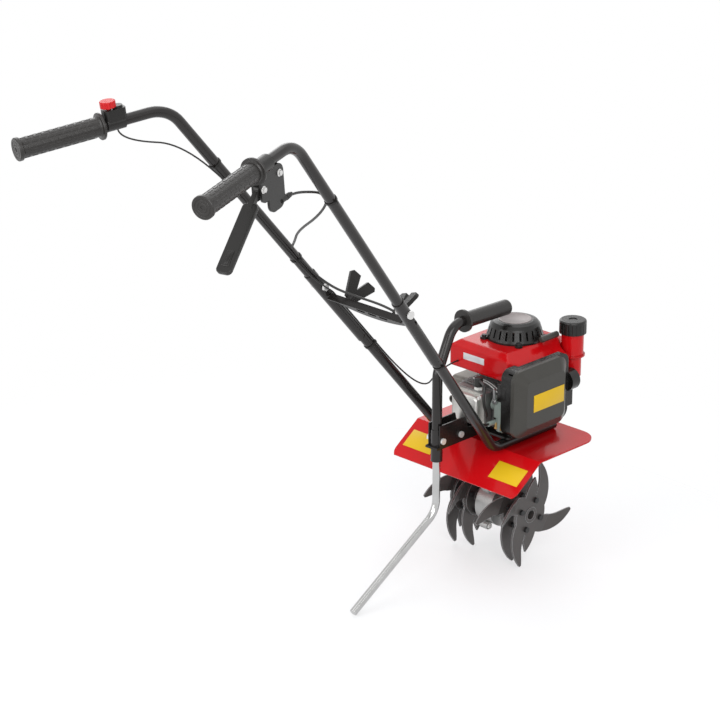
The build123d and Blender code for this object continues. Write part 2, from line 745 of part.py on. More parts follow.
def cover_section(x, inset, r):
    """Rounded outline of the air cleaner cover at one depth."""
    middle = Pos((COVER_Y0 + COVER_Y1) / 2, (COVER_Z0 + COVER_Z1) / 2)
    outline = RectangleRounded(COVER_Y1 - COVER_Y0 - 2 * inset, COVER_Z1 - COVER_Z0 - 2 * inset, r)
    return Plane.YZ.offset(x) * middle * outline


def cover_form(d, x0):
    """Form of the cover shrunk by d: a straight rim, then broad bevels."""
    rim = PART_X + COVER_RIM - d / 3
    form = extrude(cover_section(x0, d, COVER_ROUND - d), rim - x0)
    outer = cover_section(COVER_X - d, d + COVER_BEVEL, COVER_ROUND / 2)
    return form + loft([cover_section(rim, d, COVER_ROUND - d), outer])


def air_cleaner_cover():
    """Cover with broad bevels round its outer face."""
    return cover_form(0, PART_X) - cover_form(COVER_WALL, PART_X - 1)


def muffler():
    """Pressed silencer on the left side."""
    can = box(-104, -54, -34, 54, 306, 378)
    can = fillet(can.edges(), 9)
    can += xcyl(11, -58, -CASE_X, 20, 345)
    can += ycyl(8, -46, -30, -88, 330)
    return can - ycyl(6, -47, -36, -88, 330)


def spark_plug():
    """Plug in the head."""
    plug = zcyl(5, CYL_Z + 24, CYL_Z + 50, 12, -77)
    return plug + Pos(12, -77, CYL_Z + 36) * extrude(RegularPolygon(9, 6), 6)


def plug_cap():
    """Rubber cap and lead of the spark plug."""
    cap = zcyl(9, CYL_Z + 43, CYL_Z + 62, 12, -77) - zcyl(5 + RUN, CYL_Z + 40, CYL_Z + 50, 12, -77)
    top = CYL_Z + 56
    route = [(12, -77, top), (48, -98, top), (50, -106, 376), (50, -82, 340), (HEAD_X, -82, 340)]
    lead = bent_rod(route, 8, 3)
    return cap + lead


save("clutch_housing", clutch_housing())
save("crankcase", crankcase())
save("crankshaft", crankshaft())
save("clutch_shoes", clutch_shoe(-1), clutch_shoe(1))
save("flywheel", flywheel())
save("cylinder", cylinder())
save("rocker_cover", rocker_cover())
save("fan_shroud", fan_shroud())
save("fuel_tank", fuel_tank())
save("fuel_cap", fuel_cap())
save("recoil_cover", recoil_cover())
save("recoil_screws", *[recoil_screw(a) for a in SCREW_ANGLES])
save("recoil_reel", recoil_reel())
save("starter_grip", starter_grip())
save("starter_rope", starter_rope())
save("carburettor", carburettor())
save("choke_lever", choke_lever())
save("air_cleaner_base", air_cleaner_base())
save("air_filter", air_filter())
save("air_cleaner_cover", air_cleaner_cover())
save("muffler", muffler())
save("spark_plug", spark_plug())
save("plug_cap", plug_cap())


# Frame

BOLT1_Z = 308.0
BOLT2_Y = -133.0
BRACKET_TOP = 342.0


def fender():
    """Deck with a sloping rear flap and rounded corners."""
    drop = math.hypot(FLAP_Y - FENDER_BEND_Y, DECK_Z - FLAP_Z)
    ny = (DECK_Z - FLAP_Z) / drop * FENDER_T
    nz = (FENDER_BEND_Y - FLAP_Y) / drop * FENDER_T
    section = Polyline(
        (FLAP_Y, FLAP_Z),
        (FENDER_BEND_Y, DECK_Z),
        (FENDER_FRONT_Y, DECK_Z),
        (FENDER_FRONT_Y, DECK_Z + FENDER_T),
        (FENDER_BEND_Y - ny / 2, DECK_Z + FENDER_T),
        (FLAP_Y - ny, FLAP_Z + nz),
        close=True,
    )
    sheet = extrude(Plane.YZ * make_face(section), FENDER_W, both=True)
    plan = Rectangle(2 * FENDER_W, FENDER_FRONT_Y - FLAP_Y + 4)
    front = plan.vertices().sort_by(Axis.Y)[-2:]
    plan = fillet(front, 45)
    rear = plan.vertices().sort_by(Axis.Y)[:2]
    plan = fillet(rear, 18)
    middle = (FENDER_FRONT_Y + FLAP_Y - 4) / 2
    sheet = sheet & Pos(0, middle, 150) * extrude(plan, 200)
    sheet -= zcyl(HOUSING_R + GAP, 200, 300, 0, CRANK_Y)
    for x in (-FOOT_POINT[0], FOOT_POINT[0]):
        for y in FENDER_BOLT_Y:
            sheet -= zcyl(3 + RUN, 200, 300, x, y)
    return sheet


FENDER_BOLT_Y = (-40.0, 70.0)


def fender_bolt(x, y):
    """Bolt through a lower tube, the deck and the bed."""
    low = DECK_Z - 5
    bolt = zcyl(3, low, BASE_Z + 1, x, y)
    bolt += Pos(x, y, low) * extrude(RegularPolygon(5.5, 6), 5)
    bolt += Pos(x, y, BASE_Z) * extrude(RegularPolygon(5.5, 6), 4)
    return bolt


def bed_plate():
    """Engine bed welded on the lower tubes, with a tongue to the rear."""
    plate = box(-82, 82, -62, 104, BED_Z, BASE_Z)
    plate = fillet(plate.edges().filter_by(Axis.Z), 10)
    plate += box(-PLATE_X - BRACKET_T, PLATE_X + BRACKET_T, POST_Y - 16, -60, BED_Z, BASE_Z)
    plate -= zcyl(CRANK_R + 8, BED_Z - 1, BASE_Z + 1, 0, CRANK_Y)
    plate -= zcyl(COLLAR_R + RUN, BED_Z - 1, BASE_Z + 1, 0, POST_Y)
    for x in (-FOOT_POINT[0], FOOT_POINT[0]):
        for y in FENDER_BOLT_Y:
            plate -= zcyl(3 + RUN, BED_Z - 1, BASE_Z + 1, x, y)
    return plate


def bracket_plate():
    """Side plate that holds the post."""
    outline = Polyline(
        (POST_Y - BRACKET_REAR, BASE_Z),
        (-64, BASE_Z),
        (-64, BASE_Z + 10),
        (-111, BASE_Z + 22),
        (-118, BRACKET_TOP),
        (POST_Y - BRACKET_REAR, BRACKET_TOP),
        close=True,
    )
    plate = extrude(Plane.YZ * make_face(outline), BRACKET_T)
    plate = Pos(PLATE_X, 0, 0) * plate
    for y in (POST_Y, BOLT2_Y):
        plate -= xcyl(BOLT_R + RUN, 0, 40, y, BOLT1_Z)
    return plate


def frame_bolt(y, collar):
    """Bolt across the two bracket plates."""
    half = PLATE_X + BRACKET_T
    bolt = xcyl(BOLT_R, -half - 5, half + 1, y, BOLT1_Z)
    bolt += xcyl(6.5, half, half + 4, y, BOLT1_Z)
    bolt += Pos(-half - 6, y, BOLT1_Z) * Rot(0, 90, 0) * extrude(RegularPolygon(7, 6), 6)
    if collar:
        bolt += xcyl(8, -PLATE_X, PLATE_X, y, BOLT1_Z)
    return bolt


CARRY_POINTS = [(0, POST_Y, 262), (0, POST_Y, 448), (0, -142, 541), (0, 12, 537)]


def carry_handle():
    """Post that turns forward into the carry handle."""
    tube = bent_rod(CARRY_POINTS, 42, POST_R)
    tube += zcyl(COLLAR_R, CARRY_POINTS[0][2], COLLAR_TOP, 0, POST_Y)
    tube += box(-PLATE_X, PLATE_X, POST_Y - 6, POST_Y + 6, BASE_Z, BASE_Z + 24)
    tube -= zcyl(POST_BORE, 250, 420, 0, POST_Y)
    return tube - xcyl(BOLT_R + RUN, -40, 40, POST_Y, BOLT1_Z)


def carry_grip():
    """Rubber grip of the carry handle."""
    a = Vector(0, -142, 541)
    b = Vector(0, 12, 537)
    along = (b - a).normalized()
    start = a + along * 28
    end = b + along * 8
    grip = rod(start, end, 16)
    grip = fillet(grip.edges().sort_by(Axis.Y)[-1:], 6)
    grip += rod(start, start + along * 5, 23)
    return grip - rod(start - along * 5, b + along * RUN, POST_R + RUN)


def drag_bar():
    """Bent bar that slides in the post, with a slot for the clamp bolt."""
    top = BOLT1_Z + BOLT_R + BAR_TRAVEL + 14
    bar = bent_rod([(0, POST_Y, top), BAR_BEND, BAR_END], 45, BAR_R)
    slot = box(-20, 20, POST_Y - BOLT_R - GAP, POST_Y + BOLT_R + GAP, BOLT1_Z - BOLT_R - GAP, top - 9)
    return bar - slot


# Handles

BEND = Vector(*BEND_POINT)
FOOT = Vector(*FOOT_POINT)
PIVOT = BEND + (FOOT - BEND) * PIVOT_FRACTION
DOWN = (FOOT - BEND).normalized()
SIDE = (Vector(1, 0, 0) - DOWN * DOWN.X).normalized()
JOINT = Plane(origin=PIVOT, x_dir=SIDE, z_dir=DOWN)
BRACE_T0 = 27.0
BRACE_T1 = 47.0
KNOB_T = (BRACE_T0 + BRACE_T1) / 2
KNOB_X = 62.0
WING_H = 56.0
WING_HALF = 32.0
WING_TIP = 22.0
WING_T = 8.0
RIGHT_KNOB_TURN = 25.0
LEFT_KNOB_TURN = -65.0
BOW = 14.0
BOW_HALF = 92.0
BOW_SLOT = 15.0
SHEET = 2.5
SLOT_HALF = 8.6
SPAN = Plane(
    origin=(0, PIVOT.Y, PIVOT.Z),
    x_dir=(1, 0, 0),
    z_dir=Vector(0, DOWN.Y, DOWN.Z).normalized(),
)


def lbox(x0, x1, y0, y1, z0, z1):
    """Box in the frame of a handle joint: y to the rear of the tube, z down it."""
    return JOINT * box(x0, x1, y0, y1, z0, z1)


def pivot_hole(r):
    """Cutter for the pivot bolt."""
    return xcyl(r, PIVOT.X - 40, PIVOT.X + 40, PIVOT.Y, PIVOT.Z)


def upper_tube():
    """Handle tube whose lower end is a slotted sleeve with a rear half shell."""
    start = PIVOT - DOWN * 30
    path = [GRIP_END, BEND_POINT, tuple(start)]
    tube = bent_rod(path, HANDLE_BEND, TUBE_R) - bent_rod(path, HANDLE_BEND, TUBE_R - TUBE_WALL)
    sleeve = JOINT * zcyl(SLEEVE_R, -38, TAIL)
    sleeve -= JOINT * zcyl(TUBE_R + 0.3, 12, TAIL + 5)
    sleeve -= lbox(-30, 30, -30, 0, 14, TAIL + 5)
    sleeve -= lbox(-SLOT_HALF, SLOT_HALF, -30, 0.4 * BLADE_W, -24, 16)
    sleeve -= lbox(-SLOT_HALF, SLOT_HALF, -30, BLADE_W + GAP, 0, 16)
    sleeve -= xcyl(BLADE_W + GAP, PIVOT.X - SLOT_HALF, PIVOT.X + SLOT_HALF, PIVOT.Y, PIVOT.Z)
    sleeve -= pivot_hole(BOLT_R + RUN)
    tail_end = lbox(-30, 30, 0, 30, TAIL - SLEEVE_R, TAIL + 5)
    tail_end -= JOINT * ycyl(SLEEVE_R, -1, 31, 0, TAIL - SLEEVE_R)
    return tube + (sleeve - tail_end)


def lower_tube():
    """Frame tube with a flattened upper end."""
    low = (FOOT_POINT[0], 92.0, FOOT_POINT[2])
    path = [tuple(PIVOT + DOWN * 36), FOOT_POINT, low]
    tube = bent_rod(path, 40, TUBE_R) - bent_rod(path, 40, TUBE_R - TUBE_WALL)
    blade = lbox(-BLADE_HALF, BLADE_HALF, -BLADE_W, BLADE_W, 0, 44)
    blade += xcyl(BLADE_W, PIVOT.X - BLADE_HALF, PIVOT.X + BLADE_HALF, PIVOT.Y, PIVOT.Z)
    tube += blade - pivot_hole(BOLT_R + RUN)
    for y in FENDER_BOLT_Y:
        tube -= zcyl(3 + RUN, 200, 300, FOOT_POINT[0], y)
    return tube


def brace_box(x_half, u0, u1, t0, t1):
    """Bar across the machine in the plane of the handles, u toward the front."""
    return SPAN * box(-x_half, x_half, -u1, -u0, t0, t1)


def knob_cut(r):
    """Holes for the two wing knobs."""
    cut = None
    for x in (-KNOB_X, KNOB_X):
        hole = SPAN * ycyl(r, -40, 40, x, KNOB_T)
        cut = hole if cut is None else cut + hole
    return cut


def tube_block(r):
    """Both handle lines as solid bars, to trim pieces that meet them."""
    bar = rod(PIVOT - DOWN * 60, PIVOT + DOWN * 120, r)
    return bar + mirror_x(bar)


def inside(shape):
    """The part of a brace between the two handle lines."""
    parts = (shape - tube_block(TUBE_R)).solids()
    return [s for s in parts if abs(s.center().X) < 20][0]


def lower_brace():
    """Angle plate between the lower tubes."""
    web = brace_box(PIVOT.X, 0.3, 0.3 + SHEET, BRACE_T0 - 5, BRACE_T1 + 5)
    flange = brace_box(PIVOT.X, -12, 0.3 + SHEET, BRACE_T0 - 5, BRACE_T0 - 2.5)
    path = lbox(-SLEEVE_R - 1.5, SLEEVE_R + 1.5, -0.25, 40, -80, 140)
    brace = inside(web + flange) - path - mirror_x(path)
    return brace - knob_cut(3 + GAP)


def upper_brace():
    """Bowed plate between the half shells of the upper tubes, with three slots."""
    bar = brace_box(PIVOT.X, -SHEET - 0.2, -0.2, BRACE_T0, BRACE_T1)
    bow_r = (BOW_HALF**2 + BOW**2) / (2 * BOW)
    bow = ycyl(bow_r, 0.2, SHEET + 0.2, 0, BRACE_T1 + BOW - bow_r)
    bar += SPAN * (bow & box(-BOW_HALF, BOW_HALF, 0, 2 * SHEET, BRACE_T0, BRACE_T1 + BOW))
    trimmed = (bar - tube_block(SLEEVE_R)).solids()
    bar = [s for s in trimmed if abs(s.center().X) < 20][0]
    for x in (-BOW_SLOT * 2, 0, BOW_SLOT * 2):
        slot = box(x - BOW_SLOT / 2, x + BOW_SLOT / 2, -1, 2 * SHEET, BRACE_T1 - 3.5, BRACE_T1 + 3.5)
        for side in (-1, 1):
            slot += ycyl(3.5, -1, 2 * SHEET, x + side * BOW_SLOT / 2, BRACE_T1)
        bar -= SPAN * slot
    return bar - knob_cut(4.6)


def wing_knob(side):
    """Two-winged knob with its screw."""
    face = 0.3 + SHEET
    tip = face + WING_H
    knob = ycyl(8, -face - 14, -face)
    outline = Polyline(
        (-3, -face - 3),
        (12, -face - 6),
        (WING_HALF, 6 - tip),
        (WING_HALF - 4, -tip),
        (WING_HALF - WING_TIP, -tip),
        (-3, -face - 20),
        close=True,
    )
    wing = extrude(make_face(outline), WING_T / 2, both=True)
    knob += wing + mirror_x(wing)
    knob += ycyl(3, -face - 1, 4)
    turn = RIGHT_KNOB_TURN if side > 0 else LEFT_KNOB_TURN
    return SPAN * Pos(side * KNOB_X, 0, KNOB_T) * knob.rotate(Axis.Y, turn)


def pivot_bolt():
    """Bolt and nut of one handle joint."""
    x = PIVOT.X
    seat = SLEEVE_R + 1.1
    bolt = xcyl(BOLT_R, x - seat - 1, x + seat + 1, PIVOT.Y, PIVOT.Z)
    bolt += xcyl(8, x + seat, x + seat + 3.6, PIVOT.Y, PIVOT.Z)
    return bolt + Pos(x - seat - 5.6, PIVOT.Y, PIVOT.Z) * Rot(0, 90, 0) * extrude(RegularPolygon(7.5, 6), 5.6)


GRIP_DIR = (Vector(*GRIP_END) - BEND).normalized()
LEVEL = Vector(-GRIP_DIR.Y, GRIP_DIR.X, 0).normalized() * -1
HANDLE = Plane(origin=Vector(*GRIP_END), x_dir=LEVEL, z_dir=GRIP_DIR)


def handle_grip():
    """Ribbed rubber grip with a flange at each end."""
    grip = zcyl(GRIP_R, -GRIP_LEN, 3)
    grip += zcyl(25, -GRIP_LEN, -GRIP_LEN + 5)
    grip += zcyl(21.5, -3, 4)
    for k in range(16):
        flute = zcyl(1.2, -GRIP_LEN + 12, -10, GRIP_R + 0.5, 0)
        grip -= flute.rotate(Axis.Z, 22.5 * k)
    grip -= zcyl(TUBE_R + RUN, -GRIP_LEN - 1, 0)
    return HANDLE * grip


LEVER_Y = 36.0
LEVER_Z = -GRIP_LEN - 8
LEVER_OPEN = 37.5
LEVER_LEN = 166.0
CHEEK_Z0 = LEVER_Z - 42
CHEEK_LOW = 62.0
CHEEK_Z1 = LEVER_Z + 6
CHEEK_HALF = 10.0
CHEEK_GAP = 5.4
EAR_LOW = 90.0
EAR_Z0 = LEVER_Z - 68
EAR_Z1 = LEVER_Z - 16
STOP_X = -(CHEEK_HALF + CHEEK_GAP) / 2
STOP_Y = 80.0
STOP_Z = EAR_Z0 - 6


def throttle_bracket():
    """Clamp on the tube with two cheeks for the lever and an ear that stops the cable."""
    clamp = zcyl(15, CHEEK_Z0 + 8, CHEEK_Z1 - 2)
    cheeks = box(-CHEEK_HALF, CHEEK_HALF, 8, CHEEK_LOW, CHEEK_Z0, CHEEK_Z1)
    clamp += fillet(cheeks.edges().filter_by(Axis.X), 12)
    ear = box(-CHEEK_HALF, -CHEEK_GAP, 8, EAR_LOW, EAR_Z0, EAR_Z1)
    clamp += fillet(ear.edges().filter_by(Axis.X), 18)
    clamp += zcyl(5, STOP_Z, EAR_Z0 + 12, STOP_X, STOP_Y)
    clamp -= box(-CHEEK_GAP, CHEEK_GAP, 16, CHEEK_LOW + 1, CHEEK_Z0 + 14, CHEEK_Z1 + 4)
    clamp -= zcyl(TUBE_R + RUN, -GRIP_LEN - 120, 0)
    clamp -= xcyl(3 + RUN, -20, 20, LEVER_Y, LEVER_Z)
    clamp -= zcyl(CABLE_R + RUN, STOP_Z - 1, STOP_Z + 4, STOP_X, STOP_Y)
    return HANDLE * clamp


def throttle_lever():
    """Paddle lever on its pin."""
    lever = xcyl(9, -5, 5)
    lever += box(-5, 5, -5, 5, 0, 40)
    paddle = box(-15, 15, -4, 4, 30, LEVER_LEN)
    paddle = fillet(paddle.edges().filter_by(Axis.Y), 9)
    lever += fillet(paddle.edges().filter_by(Axis.Z), 2)
    for k in range(3):
        z = LEVER_LEN - 38 + 6 * k
        lever += box(-8, 8, 3, 5.2, z, z + 3)
    lever += xcyl(3, -CHEEK_HALF, CHEEK_HALF)
    lever = lever.rotate(Axis.X, -LEVER_OPEN)
    return HANDLE * Pos(0, LEVER_Y, LEVER_Z) * lever


SWITCH_Z = -GRIP_LEN - 18
CLAMP_WALL = 3.6


def mirror_handle(shape):
    """Move a shape from the right handle to the left."""
    return mirror_x(HANDLE * shape)


def switch_housing():
    """Switch body clipped on the left handle."""
    body = box(-13, 13, -27, -4, SWITCH_Z - 30, SWITCH_Z + 12)
    body = fillet(body.edges().filter_by(Axis.Y), 7)
    body += zcyl(TUBE_R + CLAMP_WALL, SWITCH_Z - 26, SWITCH_Z + 10)
    body += ycyl(9, -31, -26, 0, SWITCH_Z - 18)
    body -= zcyl(TUBE_R + RUN, -400, 0)
    body -= ycyl(4 + RUN, -40, -17, 0, SWITCH_Z)
    body -= ycyl(WIRE_R + RUN, 12, 20, 0, SWITCH_Z - 12)
    return mirror_handle(body)


def switch_knob():
    """Red fluted knob."""
    knob = ycyl(14.5, -43, -31, 0, SWITCH_Z)
    knob = fillet(knob.edges().sort_by(Axis.Y)[:1], 2)
    for k in range(10):
        x, z = polar(15.6, 36 * k)
        knob -= ycyl(2.6, -50, -20, x, z + SWITCH_Z)
    knob += ycyl(4, -32, -17.5, 0, SWITCH_Z)
    return mirror_handle(knob)


save("fender", fender())
bolts = []
for bolt_y in FENDER_BOLT_Y:
    bolts += pair(fender_bolt(FOOT_POINT[0], bolt_y))
save("bed_plate", bed_plate())
save("bracket_plates", *pair(bracket_plate()))
save("frame_bolts", *bolts, frame_bolt(POST_Y, False), frame_bolt(BOLT2_Y, True))
save("carry_handle", carry_handle())
save("carry_grip", carry_grip())
save("drag_bar", drag_bar())
save("upper_tubes", *pair(upper_tube()))
save("lower_tubes", *pair(lower_tube()))
save("lower_brace", lower_brace())
save("upper_brace", upper_brace())
save("wing_knob_right", wing_knob(1))
save("wing_knob_left", wing_knob(-1))
save("pivot_bolts", *pair(pivot_bolt()))
save("handle_grips", *pair(handle_grip()))
save("throttle_bracket", throttle_bracket())
save("throttle_lever", throttle_lever())
save("switch_housing", switch_housing())
save("switch_knob", switch_knob())


# Cables

CABLE_OFF = TUBE_R + CABLE_R + 0.4
WIRE_OFF = TUBE_R + WIRE_R + 0.4
DIAGONAL = math.sqrt(0.5)
RIGHT_TIE = -362.0
LEFT_TIE = -88.0
WIRE_TIE = -372.0
FRONT = JOINT.y_dir * -1


def at_right(t, inboard, front):
    """Point beside the right handle line, t below the pivot."""
    return tuple(PIVOT + DOWN * t - SIDE * inboard + FRONT * front)


def at_left(t, inboard, front):
    """Point beside the left handle line, t below the pivot."""
    x, y, z = at_right(t, inboard, front)
    return (-x, y, z)


def at_span(x, t, front):
    """Point between the handles, measured from the fold line."""
    return tuple(SPAN.from_local_coords(Vector(x, -front, t)))


def at_grip(x, y, z, side):
    """Point in the frame of a grip."""
    p = HANDLE.from_local_coords(Vector(x, y, z))
    return (side * p.X, p.Y, p.Z)


THROTTLE_UPPER = [
    at_grip(STOP_X, STOP_Y, STOP_Z + 4, 1),
    at_grip(STOP_X, STOP_Y, STOP_Z - 22, 1),
    at_right(-390, 17, -8),
    at_right(RIGHT_TIE - 12, CABLE_OFF, 0),
    at_right(RIGHT_TIE + 12, CABLE_OFF, 0),
    at_span(84, -302, -10),
    at_span(-20, -222, -10),
    at_span(-72, -162, -6),
    at_left(LEFT_TIE - 34, CABLE_OFF, 0),
    at_left(-50, CABLE_OFF, 0),
    at_span(-88, -5, 5),
]
THROTTLE_LOWER = [
    at_span(-82, 1, 6),
    at_span(-58, 13, 8),
    at_span(70, 13, 8),
    at_right(70, CABLE_OFF, 6),
    at_right(TAIL + 30, CABLE_OFF, 6),
    (STUB_X, -140, STUB_Z),
    (STUB_X, -91, STUB_Z),
]
WIRE_UPPER = [
    at_grip(0, TUBE_R + CLAMP_WALL / 2, SWITCH_Z - 12, -1),
    at_grip(0, 36, SWITCH_Z - 12, -1),
    at_left(-440, WIRE_OFF * DIAGONAL, -WIRE_OFF * DIAGONAL),
    at_left(-60, WIRE_OFF * DIAGONAL, -WIRE_OFF * DIAGONAL),
    at_span(-90, -14, -5),
]
WIRE_LOWER = [
    at_span(-88, 12, 3),
    at_left(44, WIRE_OFF * DIAGONAL, WIRE_OFF * DIAGONAL),
    at_left(372, WIRE_OFF * DIAGONAL, WIRE_OFF * DIAGONAL),
    (-62, -108, 425),
    (-62, -56, 425),
]


def cord_radii(points):
    """Largest tangent arcs that the runs of a cord allow."""
    radii = []
    for a, b, c in zip(points, points[1:], points[2:]):
        first = Vector(*b) - Vector(*a)
        second = Vector(*c) - Vector(*b)
        half_turn = math.radians(first.get_angle(second)) / 2
        reach = CORD_SHARE * min(first.length, second.length)
        radii.append(min(CORD_BEND, reach / math.tan(half_turn)))
    return radii


def cord(name, points, r):
    """Round cord along straight runs joined by tangent arcs."""
    radii = cord_radii(points)
    print(name, "bend radii", [round(value, 1) for value in radii])
    save(name, bent_rod(points, radii, r))


def tie(t, held):
    """Band round a right-hand tube and what lies beside it."""
    along = DOWN * 2.5
    middle = PIVOT + DOWN * t
    band = rod(middle - along, middle + along, TUBE_R + 1.6)
    core = rod(middle - along * 2, middle + along * 2, TUBE_R + RUN)
    for inboard, front, r in held:
        side = middle - SIDE * inboard + FRONT * front
        band += rod(side - along, side + along, r + 1.5)
        core += rod(side - along * 2, side + along * 2, r + RUN)
    lock = middle + SIDE * (TUBE_R + 3)
    band += rod(lock - along, lock + along, 3)
    return band - core


CABLE_HELD = (CABLE_OFF, 0, CABLE_R)
WIRE_HELD = (WIRE_OFF * DIAGONAL, -WIRE_OFF * DIAGONAL, WIRE_R)
LOW_CABLE_HELD = (CABLE_OFF, 6, CABLE_R)
LOW_WIRE_HELD = (WIRE_OFF * DIAGONAL, WIRE_OFF * DIAGONAL, WIRE_R)

cord("throttle_cable_upper", THROTTLE_UPPER, CABLE_R)
cord("throttle_cable_lower", THROTTLE_LOWER, CABLE_R)
cord("switch_wire_upper", WIRE_UPPER, WIRE_R)
cord("switch_wire_lower", WIRE_LOWER, WIRE_R)
save(
    "upper_cable_ties",
    tie(RIGHT_TIE, [CABLE_HELD]),
    mirror_x(tie(WIRE_TIE, [WIRE_HELD])),
    mirror_x(tie(LEFT_TIE, [WIRE_HELD, CABLE_HELD])),
)
save("lower_cable_ties", tie(TAIL + 14, [LOW_CABLE_HELD]), mirror_x(tie(190, [LOW_WIRE_HELD])))

write_nodes()
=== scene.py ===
"""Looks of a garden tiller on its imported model: finishes, cables, grips and small trim."""

import logging
import math
from dataclasses import dataclass, field
from enum import Enum
from typing import ClassVar

import bmesh
import bpy
from mathutils import Matrix, Vector

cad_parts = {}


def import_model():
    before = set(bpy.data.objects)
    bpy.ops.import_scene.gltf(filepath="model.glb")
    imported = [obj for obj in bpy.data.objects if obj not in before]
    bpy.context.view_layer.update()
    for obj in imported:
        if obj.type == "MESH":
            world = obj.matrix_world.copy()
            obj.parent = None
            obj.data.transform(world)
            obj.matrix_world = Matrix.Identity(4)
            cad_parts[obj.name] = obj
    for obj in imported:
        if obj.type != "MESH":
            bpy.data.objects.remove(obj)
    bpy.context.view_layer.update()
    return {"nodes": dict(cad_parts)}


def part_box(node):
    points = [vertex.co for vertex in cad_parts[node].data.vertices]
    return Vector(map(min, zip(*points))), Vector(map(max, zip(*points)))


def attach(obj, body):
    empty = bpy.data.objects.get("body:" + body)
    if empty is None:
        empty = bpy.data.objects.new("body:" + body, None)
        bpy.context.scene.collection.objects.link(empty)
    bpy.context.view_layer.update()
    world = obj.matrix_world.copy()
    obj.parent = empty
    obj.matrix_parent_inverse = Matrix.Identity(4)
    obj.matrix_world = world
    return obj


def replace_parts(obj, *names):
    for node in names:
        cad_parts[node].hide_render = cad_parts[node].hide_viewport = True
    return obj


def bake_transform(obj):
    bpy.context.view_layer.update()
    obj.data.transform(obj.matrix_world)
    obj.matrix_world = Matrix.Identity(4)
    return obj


LOG = logging.getLogger("tiller")
MM = 0.001
AXES = (Vector((1, 0, 0)), Vector((0, 1, 0)), Vector((0, 0, 1)))
X_AXIS, Y_AXIS, Z_AXIS = AXES
COLOUR, FLOAT, VECTOR = "NodeSocketColor", "NodeSocketFloat", "NodeSocketVector"
SMOOTH_ANGLE = 40.0
HEXAGON = 6
Colour = tuple[float, float, float]
Point = tuple[float, float, float]
Span = tuple[float, float]
Profile = tuple[Span, ...]
Route = tuple[Point, ...]
Mesh = bmesh.types.BMesh
Node = bpy.types.Node
Socket = bpy.types.NodeSocket
Thing = bpy.types.Object


class Side(Enum):
    """Side of the machine, as the sign of X."""

    RIGHT = 1
    LEFT = -1


class Grain(Enum):
    """Surface grain as cells per metre and bump height in metres."""

    SMOOTH = (90.0, 0.00004)
    PEEL = (420.0, 0.00006)
    FINE = (1500.0, 0.00008)
    PEBBLE = (900.0, 0.00016)
    CAST = (620.0, 0.00022)
    FOAM = (420.0, 0.0012)

    def __init__(self, cells: float, height: float) -> None:
        """Keep the two values under their names."""
        self.cells = cells
        self.height = height


class Effect(Enum):
    """Node group that several finishes share, as its inputs and its output."""

    MOTTLE = ({"Tone": COLOUR, "Other": COLOUR, "Scale": FLOAT}, {"Colour": COLOUR})
    WEAR = ({"Middle": FLOAT, "Spread": FLOAT}, {"Value": FLOAT})
    GRAIN = ({"Scale": FLOAT}, {"Height": FLOAT})
    LINES = ({"Stretch": VECTOR}, {"Height": FLOAT})
    EDGES = ({"Radius": FLOAT}, {"Mask": FLOAT})


class NodeTree:
    """Short way to add and link shader nodes."""

    def __init__(self, tree: bpy.types.NodeTree) -> None:
        """Keep the tree that gets the nodes."""
        self.tree = tree

    def feed(self, socket: Socket, value: object) -> None:
        """Link or set one input.

        Args:
            socket: Input socket.
            value: Output socket to link, or a constant.
        """
        if isinstance(value, Socket):
            self.tree.links.new(value, socket)
        else:
            socket.default_value = value

    def add(self, kind: str, inputs: dict | None = None, **settings: object) -> Node:
        """Add a node.

        Args:
            kind: Node type.
            inputs: Values or sockets by input name or index.
            **settings: Properties of the node.

        Returns:
            The new node.
        """
        node = self.tree.nodes.new(kind)
        for name, value in settings.items():
            setattr(node, name, value)
        for key, value in (inputs or {}).items():
            self.feed(node.inputs[key], value)
        return node

    def maths(self, operation: str, a: object, b: object) -> Socket:
        """Result of a maths node on two values."""
        return self.add("ShaderNodeMath", {0: a, 1: b}, operation=operation).outputs[0]

    def vectors(self, operation: str, a: object, b: object) -> Node:
        """Maths node on two vectors."""
        return self.add("ShaderNodeVectorMath", {0: a, 1: b}, operation=operation)

    def mix(self, share: object, a: object, b: object) -> Socket:
        """Mix of two colours, by the share of the second."""
        return self.add("ShaderNodeMix", {0: share, 6: a, 7: b}, data_type="RGBA").outputs[2]

    def place(self) -> Socket:
        """Object coordinates of the surface."""
        return self.add("ShaderNodeTexCoord").outputs["Object"]

    def noise(self, where: Socket, scale: object, detail: float = 2.0, roughness: float = 0.5) -> Socket:
        """Value of soft noise with so many cells per unit of its coordinates."""
        inputs = {"Vector": where, "Scale": scale, "Detail": detail, "Roughness": roughness}
        return self.add("ShaderNodeTexNoise", inputs).outputs[0]


